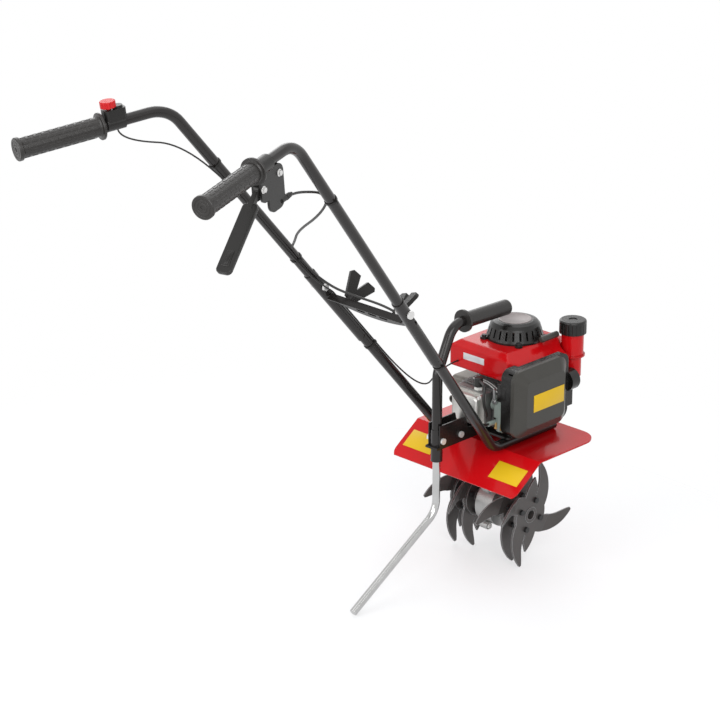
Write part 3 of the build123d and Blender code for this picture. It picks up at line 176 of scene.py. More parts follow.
@dataclass
class Effects:
    """Builds the shared node groups and places them in materials.

    Attributes:
        smudge: Smudges per metre in the roughness.
        smudge_break: How broken the smudges are.
        cell_share: Share of the cells in the grain.
        chip: Chips per metre on worn edges.
        chip_gain: How sharply an edge wears.
        chip_samples: Samples of the edge's shape.
        made: Groups that are built.
    """

    smudge: float = 14.0
    smudge_break: float = 0.62
    cell_share: float = 0.5
    chip: float = 160.0
    chip_gain: float = 7.0
    chip_samples: int = 6
    made: dict[Effect, bpy.types.NodeTree] = field(default_factory=dict)

    def put(self, n: NodeTree, effect: Effect, values: dict[str, object]) -> Socket:
        """Place an effect in a material.

        Args:
            n: Material tree.
            effect: Which effect.
            values: Its inputs.

        Returns:
            Its output.
        """
        if effect not in self.made:
            self.made[effect] = self._build(effect)
        return n.add("ShaderNodeGroup", values, node_tree=self.made[effect]).outputs[0]

    def _build(self, effect: Effect) -> bpy.types.NodeTree:
        """Build the node group of an effect.

        Args:
            effect: Which effect.

        Returns:
            The group.
        """
        makers = {
            Effect.MOTTLE: self._mottle,
            Effect.WEAR: self._wear,
            Effect.GRAIN: self._grain,
            Effect.LINES: self._lines,
            Effect.EDGES: self._edges,
        }
        tree = bpy.data.node_groups.new(effect.name.lower(), "ShaderNodeTree")
        for way, sockets in zip(("INPUT", "OUTPUT"), effect.value):
            for name, kind in sockets.items():
                tree.interface.new_socket(name, in_out=way, socket_type=kind)
        n = NodeTree(tree)
        start = n.add("NodeGroupInput")
        n.add("NodeGroupOutput", {0: makers[effect](n, start)})
        return tree

    def _mottle(self, n: NodeTree, start: Node) -> Socket:
        """Two tones mixed by soft noise."""
        share = n.noise(n.place(), start.outputs["Scale"], detail=5.0)
        return n.mix(share, start.outputs["Tone"], start.outputs["Other"])

    def _wear(self, n: NodeTree, start: Node) -> Socket:
        """Value that varies about a middle, with smudges."""
        offset = n.maths("SUBTRACT", n.noise(n.place(), self.smudge, 6.0, self.smudge_break), 0.5)
        return n.maths("ADD", start.outputs["Middle"], n.maths("MULTIPLY", offset, start.outputs["Spread"]))

    def _grain(self, n: NodeTree, start: Node) -> Socket:
        """Height of a fine grain of noise and cells.

        Args:
            n: Group tree.
            start: Its inputs.

        Returns:
            The height.
        """
        place, scale = n.place(), start.outputs["Scale"]
        noise = n.noise(place, scale, detail=3.0)
        cells = n.add("ShaderNodeTexVoronoi", {"Vector": place, "Scale": scale}).outputs[0]
        return n.maths("ADD", noise, n.maths("MULTIPLY", cells, self.cell_share))

    def _lines(self, n: NodeTree, start: Node) -> Socket:
        """Height of fine lines, stretched along one axis."""
        scaled = n.vectors("MULTIPLY", n.place(), start.outputs["Stretch"]).outputs[0]
        return n.noise(scaled, scale=1.0, detail=4.0)

    def _edges(self, n: NodeTree, start: Node) -> Socket:
        """Mask of worn edges.

        Args:
            n: Group tree.
            start: Its inputs.

        Returns:
            The mask.
        """
        bevel = n.add("ShaderNodeBevel", {"Radius": start.outputs["Radius"]}, samples=self.chip_samples)
        normal = n.add("ShaderNodeNewGeometry").outputs["Normal"]
        dot = n.vectors("DOT_PRODUCT", bevel.outputs[0], normal)
        turned = n.maths("SUBTRACT", 1.0, dot.outputs["Value"])
        chips = n.maths("MULTIPLY", n.noise(n.place(), self.chip, detail=4.0), self.chip_gain)
        return n.add("ShaderNodeClamp", {"Value": n.maths("MULTIPLY", turned, chips)}).outputs[0]


EFFECTS = Effects()
FINISHED: dict[str, bpy.types.Material] = {}


@dataclass(frozen=True)
class Finish:
    """A surface with two close tones, a soft edge and a grain.

    Attributes:
        name: Material name.
        tone: Main colour.
        other: Colour that it drifts to.
        roughness: Middle roughness.
        spread: How far the roughness drifts.
        grain: Surface grain.
        metallic: Share of metal.
        coat: Weight of a clear coat.
        coat_roughness: Roughness of that coat.
        patch: Cells of the drift per metre.
        edge: Radius of the softened edges, in metres.
        edge_samples: Samples of those edges.
        shine: Specular level.
    """

    name: str
    tone: Colour
    other: Colour
    roughness: float
    spread: float
    grain: Grain
    metallic: float = 0.0
    coat: float = 0.0
    coat_roughness: float = 0.06
    patch: float = 22.0
    edge: float = 0.0008
    edge_samples: int = 4
    shine: float = 0.4

    def _colour(self, n: NodeTree) -> Socket:
        """Colour of the surface, between its two tones."""
        inputs = {"Tone": (*self.tone, 1.0), "Other": (*self.other, 1.0), "Scale": self.patch}
        return EFFECTS.put(n, Effect.MOTTLE, inputs)

    def _height(self, n: NodeTree) -> Socket:
        """Height of the surface's grain."""
        return EFFECTS.put(n, Effect.GRAIN, {"Scale": self.grain.cells})

    def _make(self) -> bpy.types.Material:
        """Make the material.

        Returns:
            The material.
        """
        made = bpy.data.materials.new(f"{self.name}_finish")
        made.use_nodes = True
        n = NodeTree(made.node_tree)
        soft = n.add("ShaderNodeBevel", {"Radius": self.edge}, samples=self.edge_samples)
        relief = {"Height": self._height(n), "Distance": self.grain.height, "Strength": 1.0}
        bump = n.add("ShaderNodeBump", {"Normal": soft.outputs[0], **relief})
        inputs = {
            "Base Color": self._colour(n),
            "Roughness": EFFECTS.put(n, Effect.WEAR, {"Middle": self.roughness, "Spread": self.spread}),
            "Normal": bump.outputs[0],
            "Metallic": self.metallic,
            "Specular IOR Level": self.shine,
            "Coat Weight": self.coat,
            "Coat Roughness": self.coat_roughness,
        }
        shader = made.node_tree.nodes["Principled BSDF"]
        for key, value in inputs.items():
            n.feed(shader.inputs[key], value)
        return made

    def put_on(self, thing: Thing) -> None:
        """Give an object this finish, which is made when it is first used.

        Args:
            thing: Object that gets it.
        """
        if self.name not in FINISHED:
            FINISHED[self.name] = self._make()
        thing.data.materials.clear()
        thing.data.materials.append(FINISHED[self.name])


@dataclass(frozen=True)
class LinedFinish(Finish):
    """Metal with fine drawing or machining lines.

    Attributes:
        stretch: Cells per metre along each axis.
    """

    stretch: Point = (2400, 2400, 60)

    def _height(self, n: NodeTree) -> Socket:
        """Height of the lines."""
        return EFFECTS.put(n, Effect.LINES, {"Stretch": self.stretch})


@dataclass(frozen=True)
class WornFinish(Finish):
    """Dark coated metal whose edges are rubbed bare.

    Attributes:
        bare: Colour of the rubbed edges.
        rub: Radius of the rubbed edges, in metres.
    """

    bare: Colour = (0.45, 0.45, 0.46)
    rub: float = 0.0016

    def _colour(self, n: NodeTree) -> Socket:
        """Coat with its rubbed edges mixed in."""
        mask = EFFECTS.put(n, Effect.EDGES, {"Radius": self.rub})
        return n.mix(mask, super()._colour(n), (*self.bare, 1.0))


@dataclass(frozen=True)
class StrandFinish(Finish):
    """Twisted rope.

    Attributes:
        bands: Scale of the strands.
        twist: How far the strands waver.
    """

    bands: float = 140.0
    twist: float = 0.6

    def _height(self, n: NodeTree) -> Socket:
        """Height of the strands."""
        inputs = {"Vector": n.place(), "Scale": self.bands, "Distortion": self.twist}
        return n.add("ShaderNodeTexWave", inputs, bands_direction="DIAGONAL").outputs["Fac"]


# Paints, plastics and rubber
TUBE_BLACK = Finish(
    "tube_black", (0.01, 0.008, 0.0075), (0.015, 0.013, 0.012), 0.2, 0.08, Grain.PEEL, shine=0.42)
SHEET_BLACK = Finish(
    "sheet_black", (0.009, 0.008, 0.0075), (0.014, 0.012, 0.011), 0.26, 0.1, Grain.PEEL, shine=0.28)
CASE_BLACK = Finish(
    "case_black", (0.044, 0.042, 0.036), (0.054, 0.051, 0.045), 0.32, 0.08, Grain.FINE, edge=0.0016,
    shine=0.28)
LEVER_BLACK = Finish(
    "lever_black", (0.011, 0.0105, 0.0095), (0.017, 0.016, 0.015), 0.3, 0.1, Grain.SMOOTH, edge=0.0014,
    shine=0.36)
DOME_BLACK = Finish(
    "dome_black", (0.007, 0.0065, 0.006), (0.012, 0.011, 0.01), 0.24, 0.08, Grain.FINE, edge=0.0012)
KNOB_BLACK = Finish(
    "knob_black", (0.01, 0.009, 0.008), (0.015, 0.014, 0.013), 0.32, 0.1, Grain.PEBBLE, shine=0.3)
GRIP_BLACK = Finish(
    "grip_black", (0.016, 0.014, 0.013), (0.024, 0.022, 0.02), 0.3, 0.12, Grain.PEBBLE, shine=0.45)
SHEATH = Finish("sheath", (0.014, 0.013, 0.012), (0.021, 0.02, 0.019), 0.4, 0.1, Grain.SMOOTH, edge=0.0002)
RED_SHELL = Finish(
    "red_shell", (0.5, 0.003, 0.005), (0.57, 0.005, 0.008), 0.2, 0.06, Grain.SMOOTH, coat=0.24,
    edge=0.007, shine=0.12)
RED_SHEET = Finish(
    "red_sheet", (0.5, 0.003, 0.005), (0.57, 0.005, 0.008), 0.22, 0.08, Grain.SMOOTH, coat=0.22,
    edge=0.0014, shine=0.12)
RED_KNOB = Finish("red_knob", (0.52, 0.01, 0.012), (0.58, 0.014, 0.016), 0.36, 0.08, Grain.FINE, shine=0.3)
YELLOW = Finish(
    "yellow_panel", (0.74, 0.47, 0.01), (0.68, 0.42, 0.01), 0.36, 0.08, Grain.SMOOTH, edge=0.0001,
    shine=0.3)

# Metals
TINE_DARK = WornFinish(
    "tine_dark", (0.06, 0.054, 0.051), (0.085, 0.079, 0.075), 0.36, 0.16, Grain.CAST, metallic=0.25)
CAST_GREY = Finish(
    "cast_grey", (0.42, 0.42, 0.412), (0.31, 0.31, 0.305), 0.4, 0.16, Grain.CAST, metallic=0.85)
HEAD_SILVER = Finish(
    "head_silver", (0.66, 0.65, 0.62), (0.5, 0.49, 0.47), 0.32, 0.14, Grain.CAST, metallic=0.8)
FIN_GREY = Finish("fin_grey", (0.3, 0.3, 0.295), (0.18, 0.18, 0.18), 0.46, 0.14, Grain.CAST, metallic=0.85)
DARK_CAST = Finish(
    "dark_cast", (0.05, 0.049, 0.048), (0.085, 0.083, 0.08), 0.48, 0.12, Grain.CAST, metallic=0.5)
STEEL = LinedFinish("steel", (0.46, 0.46, 0.46), (0.36, 0.36, 0.36), 0.3, 0.12, Grain.SMOOTH, metallic=1.0)
BOLT = Finish("bolt", (0.74, 0.73, 0.71), (0.62, 0.61, 0.59), 0.3, 0.12, Grain.SMOOTH, metallic=0.35)
DARK_BOLT = Finish("dark_bolt", (0.03, 0.03, 0.031), (0.05, 0.05, 0.05), 0.42, 0.12, Grain.CAST, metallic=0.6)
BRONZE = LinedFinish("bronze", (0.62, 0.4, 0.16), (0.52, 0.33, 0.13), 0.34, 0.12, Grain.SMOOTH, metallic=1.0)
PLATED = LinedFinish(
    "plated", (0.58, 0.58, 0.575), (0.4, 0.4, 0.395), 0.15, 0.1, Grain.SMOOTH, metallic=1.0,
    stretch=(1500, 60, 60))
PLATE = LinedFinish(
    "plate", (0.7, 0.7, 0.7), (0.58, 0.58, 0.59), 0.34, 0.1, Grain.SMOOTH, metallic=0.6, edge=0.0002,
    stretch=(60, 2400, 2400))
HEAT = Finish(
    "heat", (0.22, 0.205, 0.185), (0.12, 0.11, 0.1), 0.46, 0.16, Grain.CAST, metallic=0.8, patch=60.0)
DISC_GREY = Finish(
    "disc_grey", (0.2, 0.17, 0.165), (0.27, 0.235, 0.23), 0.4, 0.1, Grain.FINE, metallic=0.3)
GREEN_GREY = Finish(
    "green_grey", (0.36, 0.42, 0.38), (0.27, 0.32, 0.29), 0.44, 0.1, Grain.CAST, metallic=0.3)

# Foam, ceramic and rope
FOAM = Finish("foam", (0.05, 0.05, 0.052), (0.09, 0.09, 0.09), 0.95, 0.04, Grain.FOAM, edge=0.003)
CERAMIC = Finish("ceramic", (0.8, 0.79, 0.75), (0.72, 0.71, 0.67), 0.3, 0.1, Grain.SMOOTH)
ROPE = StrandFinish("rope", (0.74, 0.71, 0.63), (0.58, 0.55, 0.48), 0.8, 0.1, Grain.FOAM, edge=0.0002)


@dataclass
class Drawing:
    """Places of the drawing, in its millimetres, given in the row frame in metres.

    Attributes:
        pivot: Place of the fold on the right handle's line.
        bend: Where that line turns into the grip.
        grip_end: Outer end of the right grip.
        axle_z: Height of the tine shaft.
        origin: The drawing's origin in the row frame.
        down: Direction down the right handle.
        side: Direction away from the middle, square to the handle.
        front: Direction to the front, square to both.
    """

    pivot: Vector = field(default_factory=lambda: Vector((113.252, -400.2, 658.468)))
    bend: Vector = field(default_factory=lambda: Vector((162.6, -733.0, 1067.5)))
    grip_end: Vector = field(default_factory=lambda: Vector((241.0, -1014.0, 1032.0)))
    axle_z: float = 112.0
    origin: Vector = field(init=False)
    down: Vector = field(init=False)
    side: Vector = field(init=False)
    front: Vector = field(init=False)

    def __post_init__(self) -> None:
        """Find the drawing's origin and the handle's directions."""
        low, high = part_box("tine_shaft")
        middle = (low + high) / 2
        self.origin = Vector((middle.x, middle.y, middle.z - self.axle_z * MM))
        self.down = (self.pivot - self.bend).normalized()
        self.side = (X_AXIS - self.down * self.down.x).normalized()
        self.front = self.side.cross(self.down).normalized()

    def at(self, x: float, y: float, z: float) -> Vector:
        """Point of the drawing, by its distances right, forward and up."""
        return self.origin + Vector((x, y, z)) * MM

    def all_at(self, points: Route) -> list[Vector]:
        """Points of the drawing."""
        return [self.at(*p) for p in points]

    def handle(self, t: float, inboard: float, front: float, side: Side) -> Vector:
        """Point beside a handle line, by its distances below the pivot, inboard and to the front."""
        p = self.pivot + self.down * t - self.side * inboard + self.front * front
        return self.at(p.x * side.value, p.y, p.z)

    def span(self, x: float, t: float, front: float) -> Vector:
        """Point between the handles.

        Args:
            x: Right of the middle, in millimetres.
            t: Distance below the fold line.
            front: Distance towards the front.

        Returns:
            The point in the row frame.
        """
        along = Vector((0, self.down.y, self.down.z)).normalized()
        ahead = Vector((0, -along.z, along.y))
        p = Vector((x, self.pivot.y, self.pivot.z)) + along * t + ahead * front
        return self.at(*p)

    def grip_axes(self) -> tuple[Vector, Vector, Vector]:
        """Directions of the right grip.

        Returns:
            Level, down and along, as unit vectors.
        """
        along = (self.grip_end - self.bend).normalized()
        level = Vector((along.y, -along.x, 0)).normalized()
        return level, along.cross(level), along

    def grip(self, x: float, y: float, z: float, side: Side) -> Vector:
        """Point in the frame of a grip.

        Args:
            x: Level distance, in millimetres.
            y: Distance down.
            z: Distance past the grip's end.
            side: Which grip.

        Returns:
            The point in the row frame.
        """
        level, low, along = self.grip_axes()
        p = self.grip_end + level * x + low * y + along * z
        return self.at(p.x * side.value, p.y, p.z)


class Shapes:
    """Meshes of new pieces, with their place in the mesh. Points are in metres, sizes in millimetres."""

    @staticmethod
    def finish(bm: Mesh, name: str, look: Finish | None, smooth: float = SMOOTH_ANGLE) -> Thing:
        """Turn a bmesh into an object.

        Args:
            bm: The mesh, which is freed.
            name: Piece name.
            look: Its finish, if it has one.
            smooth: Angle in degrees under which edges are smooth.

        Returns:
            The new object.
        """
        bmesh.ops.recalc_face_normals(bm, faces=bm.faces[:])
        for edge in bm.edges:
            edge.smooth = edge.is_manifold and edge.calc_face_angle(0.0) < math.radians(smooth)
        for face in bm.faces:
            face.smooth = True
        mesh = bpy.data.meshes.new(name)
        bm.to_mesh(mesh)
        bm.free()
        thing = bpy.data.objects.new(name, mesh)
        bpy.context.scene.collection.objects.link(thing)
        if look:
            look.put_on(thing)
        return thing

    @staticmethod
    def lathe(bm: Mesh, profile: Profile, origin: Vector, axis: Vector, steps: int) -> None:
        """Turn a profile about an axis.

        Args:
            bm: Mesh that gets the shape.
            profile: Radius and distance along the axis, from one end to the other.
            origin: Point on the axis.
            axis: Direction of the axis.
            steps: Steps of the turn.
        """
        across = axis.orthogonal().normalized()
        verts = [bm.verts.new(origin + across * (r * MM) + axis * (d * MM)) for r, d in profile]
        edges = [bm.edges.new(pair) for pair in zip(verts, verts[1:])]
        bmesh.ops.spin(bm, geom=verts + edges, cent=origin, axis=axis, angle=math.tau, steps=steps,
                       use_merge=True, use_duplicate=False, dvec=(0, 0, 0))
        bmesh.ops.remove_doubles(bm, verts=bm.verts[:], dist=1e-7)

    @staticmethod
    def turned(profiles: dict[int, Profile], places: list[Vector], axis: Vector) -> Mesh:
        """Turned shapes, the same at each place.

        Args:
            profiles: Profiles by the steps of their turn.
            places: Where each shape starts.
            axis: Direction of their axes.

        Returns:
            The mesh.
        """
        bm = bmesh.new()
        for place in places:
            for steps, profile in profiles.items():
                Shapes.lathe(bm, profile, place, axis, steps)
        return bm

    @staticmethod
    def block(bm: Mesh, centre: Vector, axes: tuple[Vector, Vector, Vector], size: Point, bevel: float,
              segments: int = 2) -> None:
        """Add a block with rounded edges.

        Args:
            bm: Mesh that gets it.
            centre: Middle of the block.
            axes: Its three unit directions.
            size: Its three sizes.
            bevel: Radius of its edges.
            segments: Segments of the rounding.
        """
        turn = Matrix(axes).transposed().to_4x4()
        place = Matrix.Translation(centre) @ turn @ Matrix.Diagonal((*(s * MM for s in size), 1.0))
        made = bmesh.ops.create_cube(bm, size=1.0, matrix=place)
        edges = list({e for v in made["verts"] for e in v.link_edges})
        bmesh.ops.bevel(bm, geom=edges, offset=bevel * MM, offset_type="OFFSET", affect="EDGES",
                        segments=segments, profile=0.5, material=-1)

    @staticmethod
    def route(points: list[Vector], steps: int = 14, order: int = 3) -> list[Vector]:
        """Smooth line through a cable's route.

        Args:
            points: Control points, in the row frame.
            steps: Steps from one control point to the next.
            order: Order of the curve.

        Returns:
            Points along the line.
        """
        curve = bpy.data.curves.new("route", "CURVE")
        curve.dimensions = "3D"
        curve.resolution_u = steps
        spline = curve.splines.new("NURBS")
        spline.points.add(len(points) - 1)
        for slot, p in zip(spline.points, points):
            slot.co = (*p, 1.0)
        spline.order_u = order
        spline.use_endpoint_u = True
        holder = bpy.data.objects.new("route", curve)
        bpy.context.scene.collection.objects.link(holder)
        bpy.context.view_layer.update()
        graph = bpy.context.evaluated_depsgraph_get()
        mesh = bpy.data.meshes.new_from_object(holder.evaluated_get(graph))
        line = [v.co.copy() for v in mesh.vertices]
        bpy.data.meshes.remove(mesh)
        bpy.data.objects.remove(holder)
        bpy.data.curves.remove(curve)
        return line

    @staticmethod
    def sweep(bm: Mesh, line: list[Vector], radius: float, sides: int = 12) -> None:
        """Add a round tube along a line.

        Args:
            bm: Mesh that gets it.
            line: Points of its middle line.
            radius: Its radius.
            sides: Sides of its section.
        """
        across = (line[1] - line[0]).orthogonal().normalized()
        turns = [math.tau * j / sides for j in range(sides)]
        rings = []
        for p, back, front in zip(line, line[:1] + line, line[1:] + line[-1:]):
            ahead = (front - back).normalized()
            across = (across - ahead * across.dot(ahead)).normalized()
            other = ahead.cross(across)
            spokes = [across * math.cos(a) + other * math.sin(a) for a in turns]
            rings.append([bm.verts.new(p + spoke * (radius * MM)) for spoke in spokes])
        for ring, after in zip(rings, rings[1:]):
            for j in range(sides):
                k = (j + 1) % sides
                bm.faces.new((ring[j], ring[k], after[k], after[j]))
        bm.faces.new(rings[0][::-1])
        bm.faces.new(rings[-1])


@dataclass
class Assembly:
    """Part of the machine: the finish of each CAD node, and pieces made here.

    Attributes:
        looks: CAD nodes by their finish.
        nodes: All CAD nodes by name.
        draw: Places of the drawing.
    """

    looks: ClassVar[dict[Finish, list[str]]] = {}
    nodes: dict[str, Thing]
    draw: Drawing

    def pieces(self) -> list[Thing]:
        """Make the pieces that are not CAD nodes."""
        return []

    def build(self) -> None:
        """Put the finishes on and make the pieces."""
        for look, names in self.looks.items():
            for name in names:
                look.put_on(self.nodes[name])
                LOG.info("%s: finish %s", name, look.name)
        for piece in self.pieces():
            LOG.info("%s: made here", piece.name)

    def cord(self, bm: Mesh, stops: Route, radius: float, sides: int) -> None:
        """Add a tube along a smooth line through places of the drawing."""
        Shapes.sweep(bm, Shapes.route(self.draw.all_at(stops)), radius, sides)


@dataclass(frozen=True)
class Slab:
    """Level block, in the drawing's millimetres.

    Attributes:
        place: Its middle.
        size: Its sizes.
        edge: Radius of its edges.
    """

    place: Point
    size: Point
    edge: float


class Rotor(Assembly):
    """Tines, hubs and their shaft."""

    looks = {
        TINE_DARK: ["outer_tines", "inner_tines", "tine_hubs"],
        DARK_BOLT: ["tine_bolts"],
        STEEL: ["tine_shaft"],
        BRONZE: ["worm_wheel"],
    }


class Gearbox(Assembly):
    """Worm gear case and clutch."""

    looks = {
        CAST_GREY: ["gear_case_right", "gear_case_left", "clutch_housing"],
        BOLT: ["case_bolts"],
        STEEL: ["bearings", "worm_shaft", "clutch_drum"],
        DARK_CAST: ["clutch_shoes"],
    }


@dataclass
class Engine(Assembly):
    """Engine with its covers, tank and carburettor, in the drawing's millimetres.

    Attributes:
        panels: Finish and blocks of each plate or panel on the covers.
        dome: Middle of the recoil cover's top.
        disc: Profile of the disc on it.
        plug: Lower end of the plug cap.
        cap: Profile of that cap.
        lead: Route of the plug lead.
        lead_r: Its radius.
        rod: Route of the linkage's front rod.
        rod_shifts: How far back each rod lies.
        rod_r: Radius of the rods.
        jets: Places of the float bowl's screws.
        jet: Profile of such a screw.
        bosses: Rear ends of the rocker cover's bosses.
        flange: Profile of the flange of a screw there.
        head: Profile of its head.
        foam_edge: Radius of the foam's edges.
        rope_line: Where the starter rope lies along the machine, and its height.
        rope_x: Its two ends across the machine.
        rope_bend: Two places across the machine along its line.
        rope_r: Its radius.
        rope_steps: Steps along it.
    """

    looks: ClassVar[dict[Finish, list[str]]] = {
        CAST_GREY: ["crankcase", "flywheel"],
        FIN_GREY: ["cylinder"],
        HEAD_SILVER: ["rocker_cover"],
        STEEL: ["crankshaft", "choke_lever"],
        RED_SHELL: ["fan_shroud", "fuel_tank"],
        DOME_BLACK: ["fuel_cap", "recoil_cover", "air_cleaner_base"],
        DARK_BOLT: ["recoil_screws"],
        CASE_BLACK: ["recoil_reel", "starter_grip", "air_cleaner_cover"],
        GREEN_GREY: ["carburettor"],
        HEAT: ["muffler"],
        CERAMIC: ["spark_plug"],
    }
    panels: ClassVar[dict[str, tuple[Finish, list[Slab]]]] = {
        "shroud_plate": (PLATE, [Slab((-19, -58.4, 440), (56, 0.8, 14), 0.3)]),
        "cover_panel": (YELLOW, [Slab((141.3, -10, 385), (0.6, 92, 36), 0.2)]),
        "choke_panel": (DOME_BLACK, [
            Slab((98, -95.4, 405), (38, 3, 38), 1.2),
            Slab((94, -97.1, 405), (20, 0.8, 28), 0.3),
        ]),
    }
    dome: Point = (0, 45, 505)
    disc: Profile = ((0, 0), (34, 0), (34, 0.6), (33.4, 1), (30, 1), (29.4, 0.6), (0, 0.6))
    plug: Point = (12, -77, 395)
    cap: Profile = ((0, 12), (5.1, 12), (5.1, 0), (9, 0), (9, 14), (8.2, 18), (5, 19), (0, 19))
    lead: Route = ((12, -77, 408), (34, -90, 410), (48, -98, 408), (50, -106, 376), (50, -90, 344),
                   (40, -82, 340))
    lead_r: float = 3.0
    rod: Route = ((-24, -46, 396), (10, -50, 399), (44, -58, 394), (58, -56, 383))
    rod_shifts: tuple[float, ...] = (0, 7)
    rod_r: float = 1.3
    jets: Route = ((60.5, -77.6, 330), (75.5, -77.6, 330))
    jet: Profile = ((0, 0), (2.2, 0), (2.6, 0.6), (2.6, 9), (3.6, 9.6), (3.6, 13), (3, 13.6), (0, 13.6))
    bosses: Route = tuple((x, -98, z) for x in (-34, 34) for z in (323, 381))
    flange: Profile = ((0, 0), (4.4, 0), (4.6, 0.2), (4.6, 0.8), (4.2, 1.1), (0, 1.1))
    head: Profile = ((0, 1), (3.7, 1), (3.9, 1.3), (3.9, 4), (3.4, 4.5), (0, 4.5))
    foam_edge: float = 4.0
    rope_line: Span = (67, 474)
    rope_x: Span = (-4, 67.5)
    rope_bend: Span = (30, 60)
    rope_r: float = 1.8
    rope_steps: int = 24

    def pieces(self) -> list[Thing]:
        """Make the panels, the trim and the soft pieces.

        Returns:
            The pieces.
        """
        panels = (self._panel(name) for name in self.panels)
        trim = [self._disc(), *panels, self._lead(), self._linkage(), self._jets(), self._screws()]
        return [*trim, self._filter(), self._rope()]

    def _disc(self) -> Thing:
        """Pale disc with a raised rim, on the recoil cover."""
        bm = Shapes.turned({64: self.disc}, [self.draw.at(*self.dome)], Z_AXIS)
        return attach(Shapes.finish(bm, "recoil_disc", DISC_GREY), "frame")

    def _panel(self, name: str) -> Thing:
        """Bare plate or panel on a cover.

        Args:
            name: Piece name.

        Returns:
            The piece.
        """
        look, slabs = self.panels[name]
        bm = bmesh.new()
        for slab in slabs:
            Shapes.block(bm, self.draw.at(*slab.place), AXES, slab.size, slab.edge)
        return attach(Shapes.finish(bm, name, look), "frame")

    def _lead(self) -> Thing:
        """Rubber cap and lead of the spark plug.

        Returns:
            The piece.
        """
        bm = Shapes.turned({32: self.cap}, [self.draw.at(*self.plug)], Z_AXIS)
        self.cord(bm, self.lead, self.lead_r, sides=14)
        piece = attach(Shapes.finish(bm, "plug_cap_and_lead", SHEATH), "frame")
        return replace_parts(piece, "plug_cap")

    def _linkage(self) -> Thing:
        """Thin rods above the cylinder, from the governor to the carburettor.

        Returns:
            The piece.
        """
        bm = bmesh.new()
        for shift in self.rod_shifts:
            self.cord(bm, tuple((x, y - shift, z) for x, y, z in self.rod), self.rod_r, sides=10)
        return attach(Shapes.finish(bm, "throttle_linkage", BOLT), "frame")

    def _jets(self) -> Thing:
        """Brass screws on the float bowl."""
        bm = Shapes.turned({20: self.jet}, self.draw.all_at(self.jets), -Z_AXIS)
        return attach(Shapes.finish(bm, "bowl_screws", BRONZE), "frame")

    def _screws(self) -> Thing:
        """Bright screws on the four bosses of the rocker cover."""
        bm = Shapes.turned({24: self.flange, HEXAGON: self.head}, self.draw.all_at(self.bosses), -Y_AXIS)
        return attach(Shapes.finish(bm, "rocker_screws", BOLT, smooth=30.0), "frame")

    def _filter(self) -> Thing:
        """Foam block of the air cleaner.

        Returns:
            The piece.
        """
        low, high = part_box("air_filter")
        bm = bmesh.new()
        Shapes.block(bm, (low + high) / 2, AXES, tuple((high - low) / MM), self.foam_edge, segments=4)
        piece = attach(Shapes.finish(bm, "air_filter_foam", FOAM), "frame")
        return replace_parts(piece, "air_filter")

    def _rope(self) -> Thing:
        """Straight starter rope from the cover to the grip.

        Returns:
            The piece.
        """
        bm = bmesh.new()
        start, end = (self.draw.at(x, *self.rope_line) for x in self.rope_x)
        held, free = (self.draw.at(x, *self.rope_line) for x in self.rope_bend)
        line = [start.lerp(end, k / self.rope_steps) for k in range(self.rope_steps + 1)]
        Shapes.sweep(bm, line, self.rope_r)
        piece = Shapes.finish(bm, "starter_rope_line", ROPE)
        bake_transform(piece)
        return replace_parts(piece, "starter_rope")


@dataclass
class Chassis(Assembly):
    """Fender, bed, bracket, carry handle and drag bar, in the drawing's millimetres.

    Attributes:
        flap_bend: Where the fender's flap starts, along the machine and in height.
        flap_tip: Where it ends.
        panel_x: Middle of each panel, from the machine's middle.
        panel_rise: Middle of each panel above the flap's line.
        panel_size: Sizes across, along and through a panel.
    """

    looks: ClassVar[dict[Finish, list[str]]] = {
        RED_SHEET: ["fender"],
        BOLT: ["frame_bolts"],
        SHEET_BLACK: ["bed_plate", "bracket_plates"],
        TUBE_BLACK: ["carry_handle"],
        GRIP_BLACK: ["carry_grip"],
        PLATED: ["drag_bar"],
    }
    flap_bend: Span = (-62, 268)
    flap_tip: Span = (-141, 213)
    panel_x: float = 118.0
    panel_rise: float = 2.9
    panel_size: Point = (76, 42, 0.6)

    def pieces(self) -> list[Thing]:
        """Make the plain panels on the rear flap."""
        return [self._flap_panel(side) for side in Side]

    def _flap_panel(self, side: Side) -> Thing:
        """Plain yellow panel on the fender's flap.

        Args:
            side: Which side.

        Returns:
            The piece.
        """
        bend, tip = Vector((0, *self.flap_bend)), Vector((0, *self.flap_tip))
        slope = (bend - tip).normalized()
        normal = Vector((0, -slope.z, slope.y))
        middle = (bend + tip) / 2 + normal * self.panel_rise + X_AXIS * (side.value * self.panel_x)
        bm = bmesh.new()
        Shapes.block(bm, self.draw.at(*middle), (X_AXIS, slope, normal), self.panel_size, bevel=0.2)
        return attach(Shapes.finish(bm, f"flap_panel_{side.name.lower()}", YELLOW), "frame")


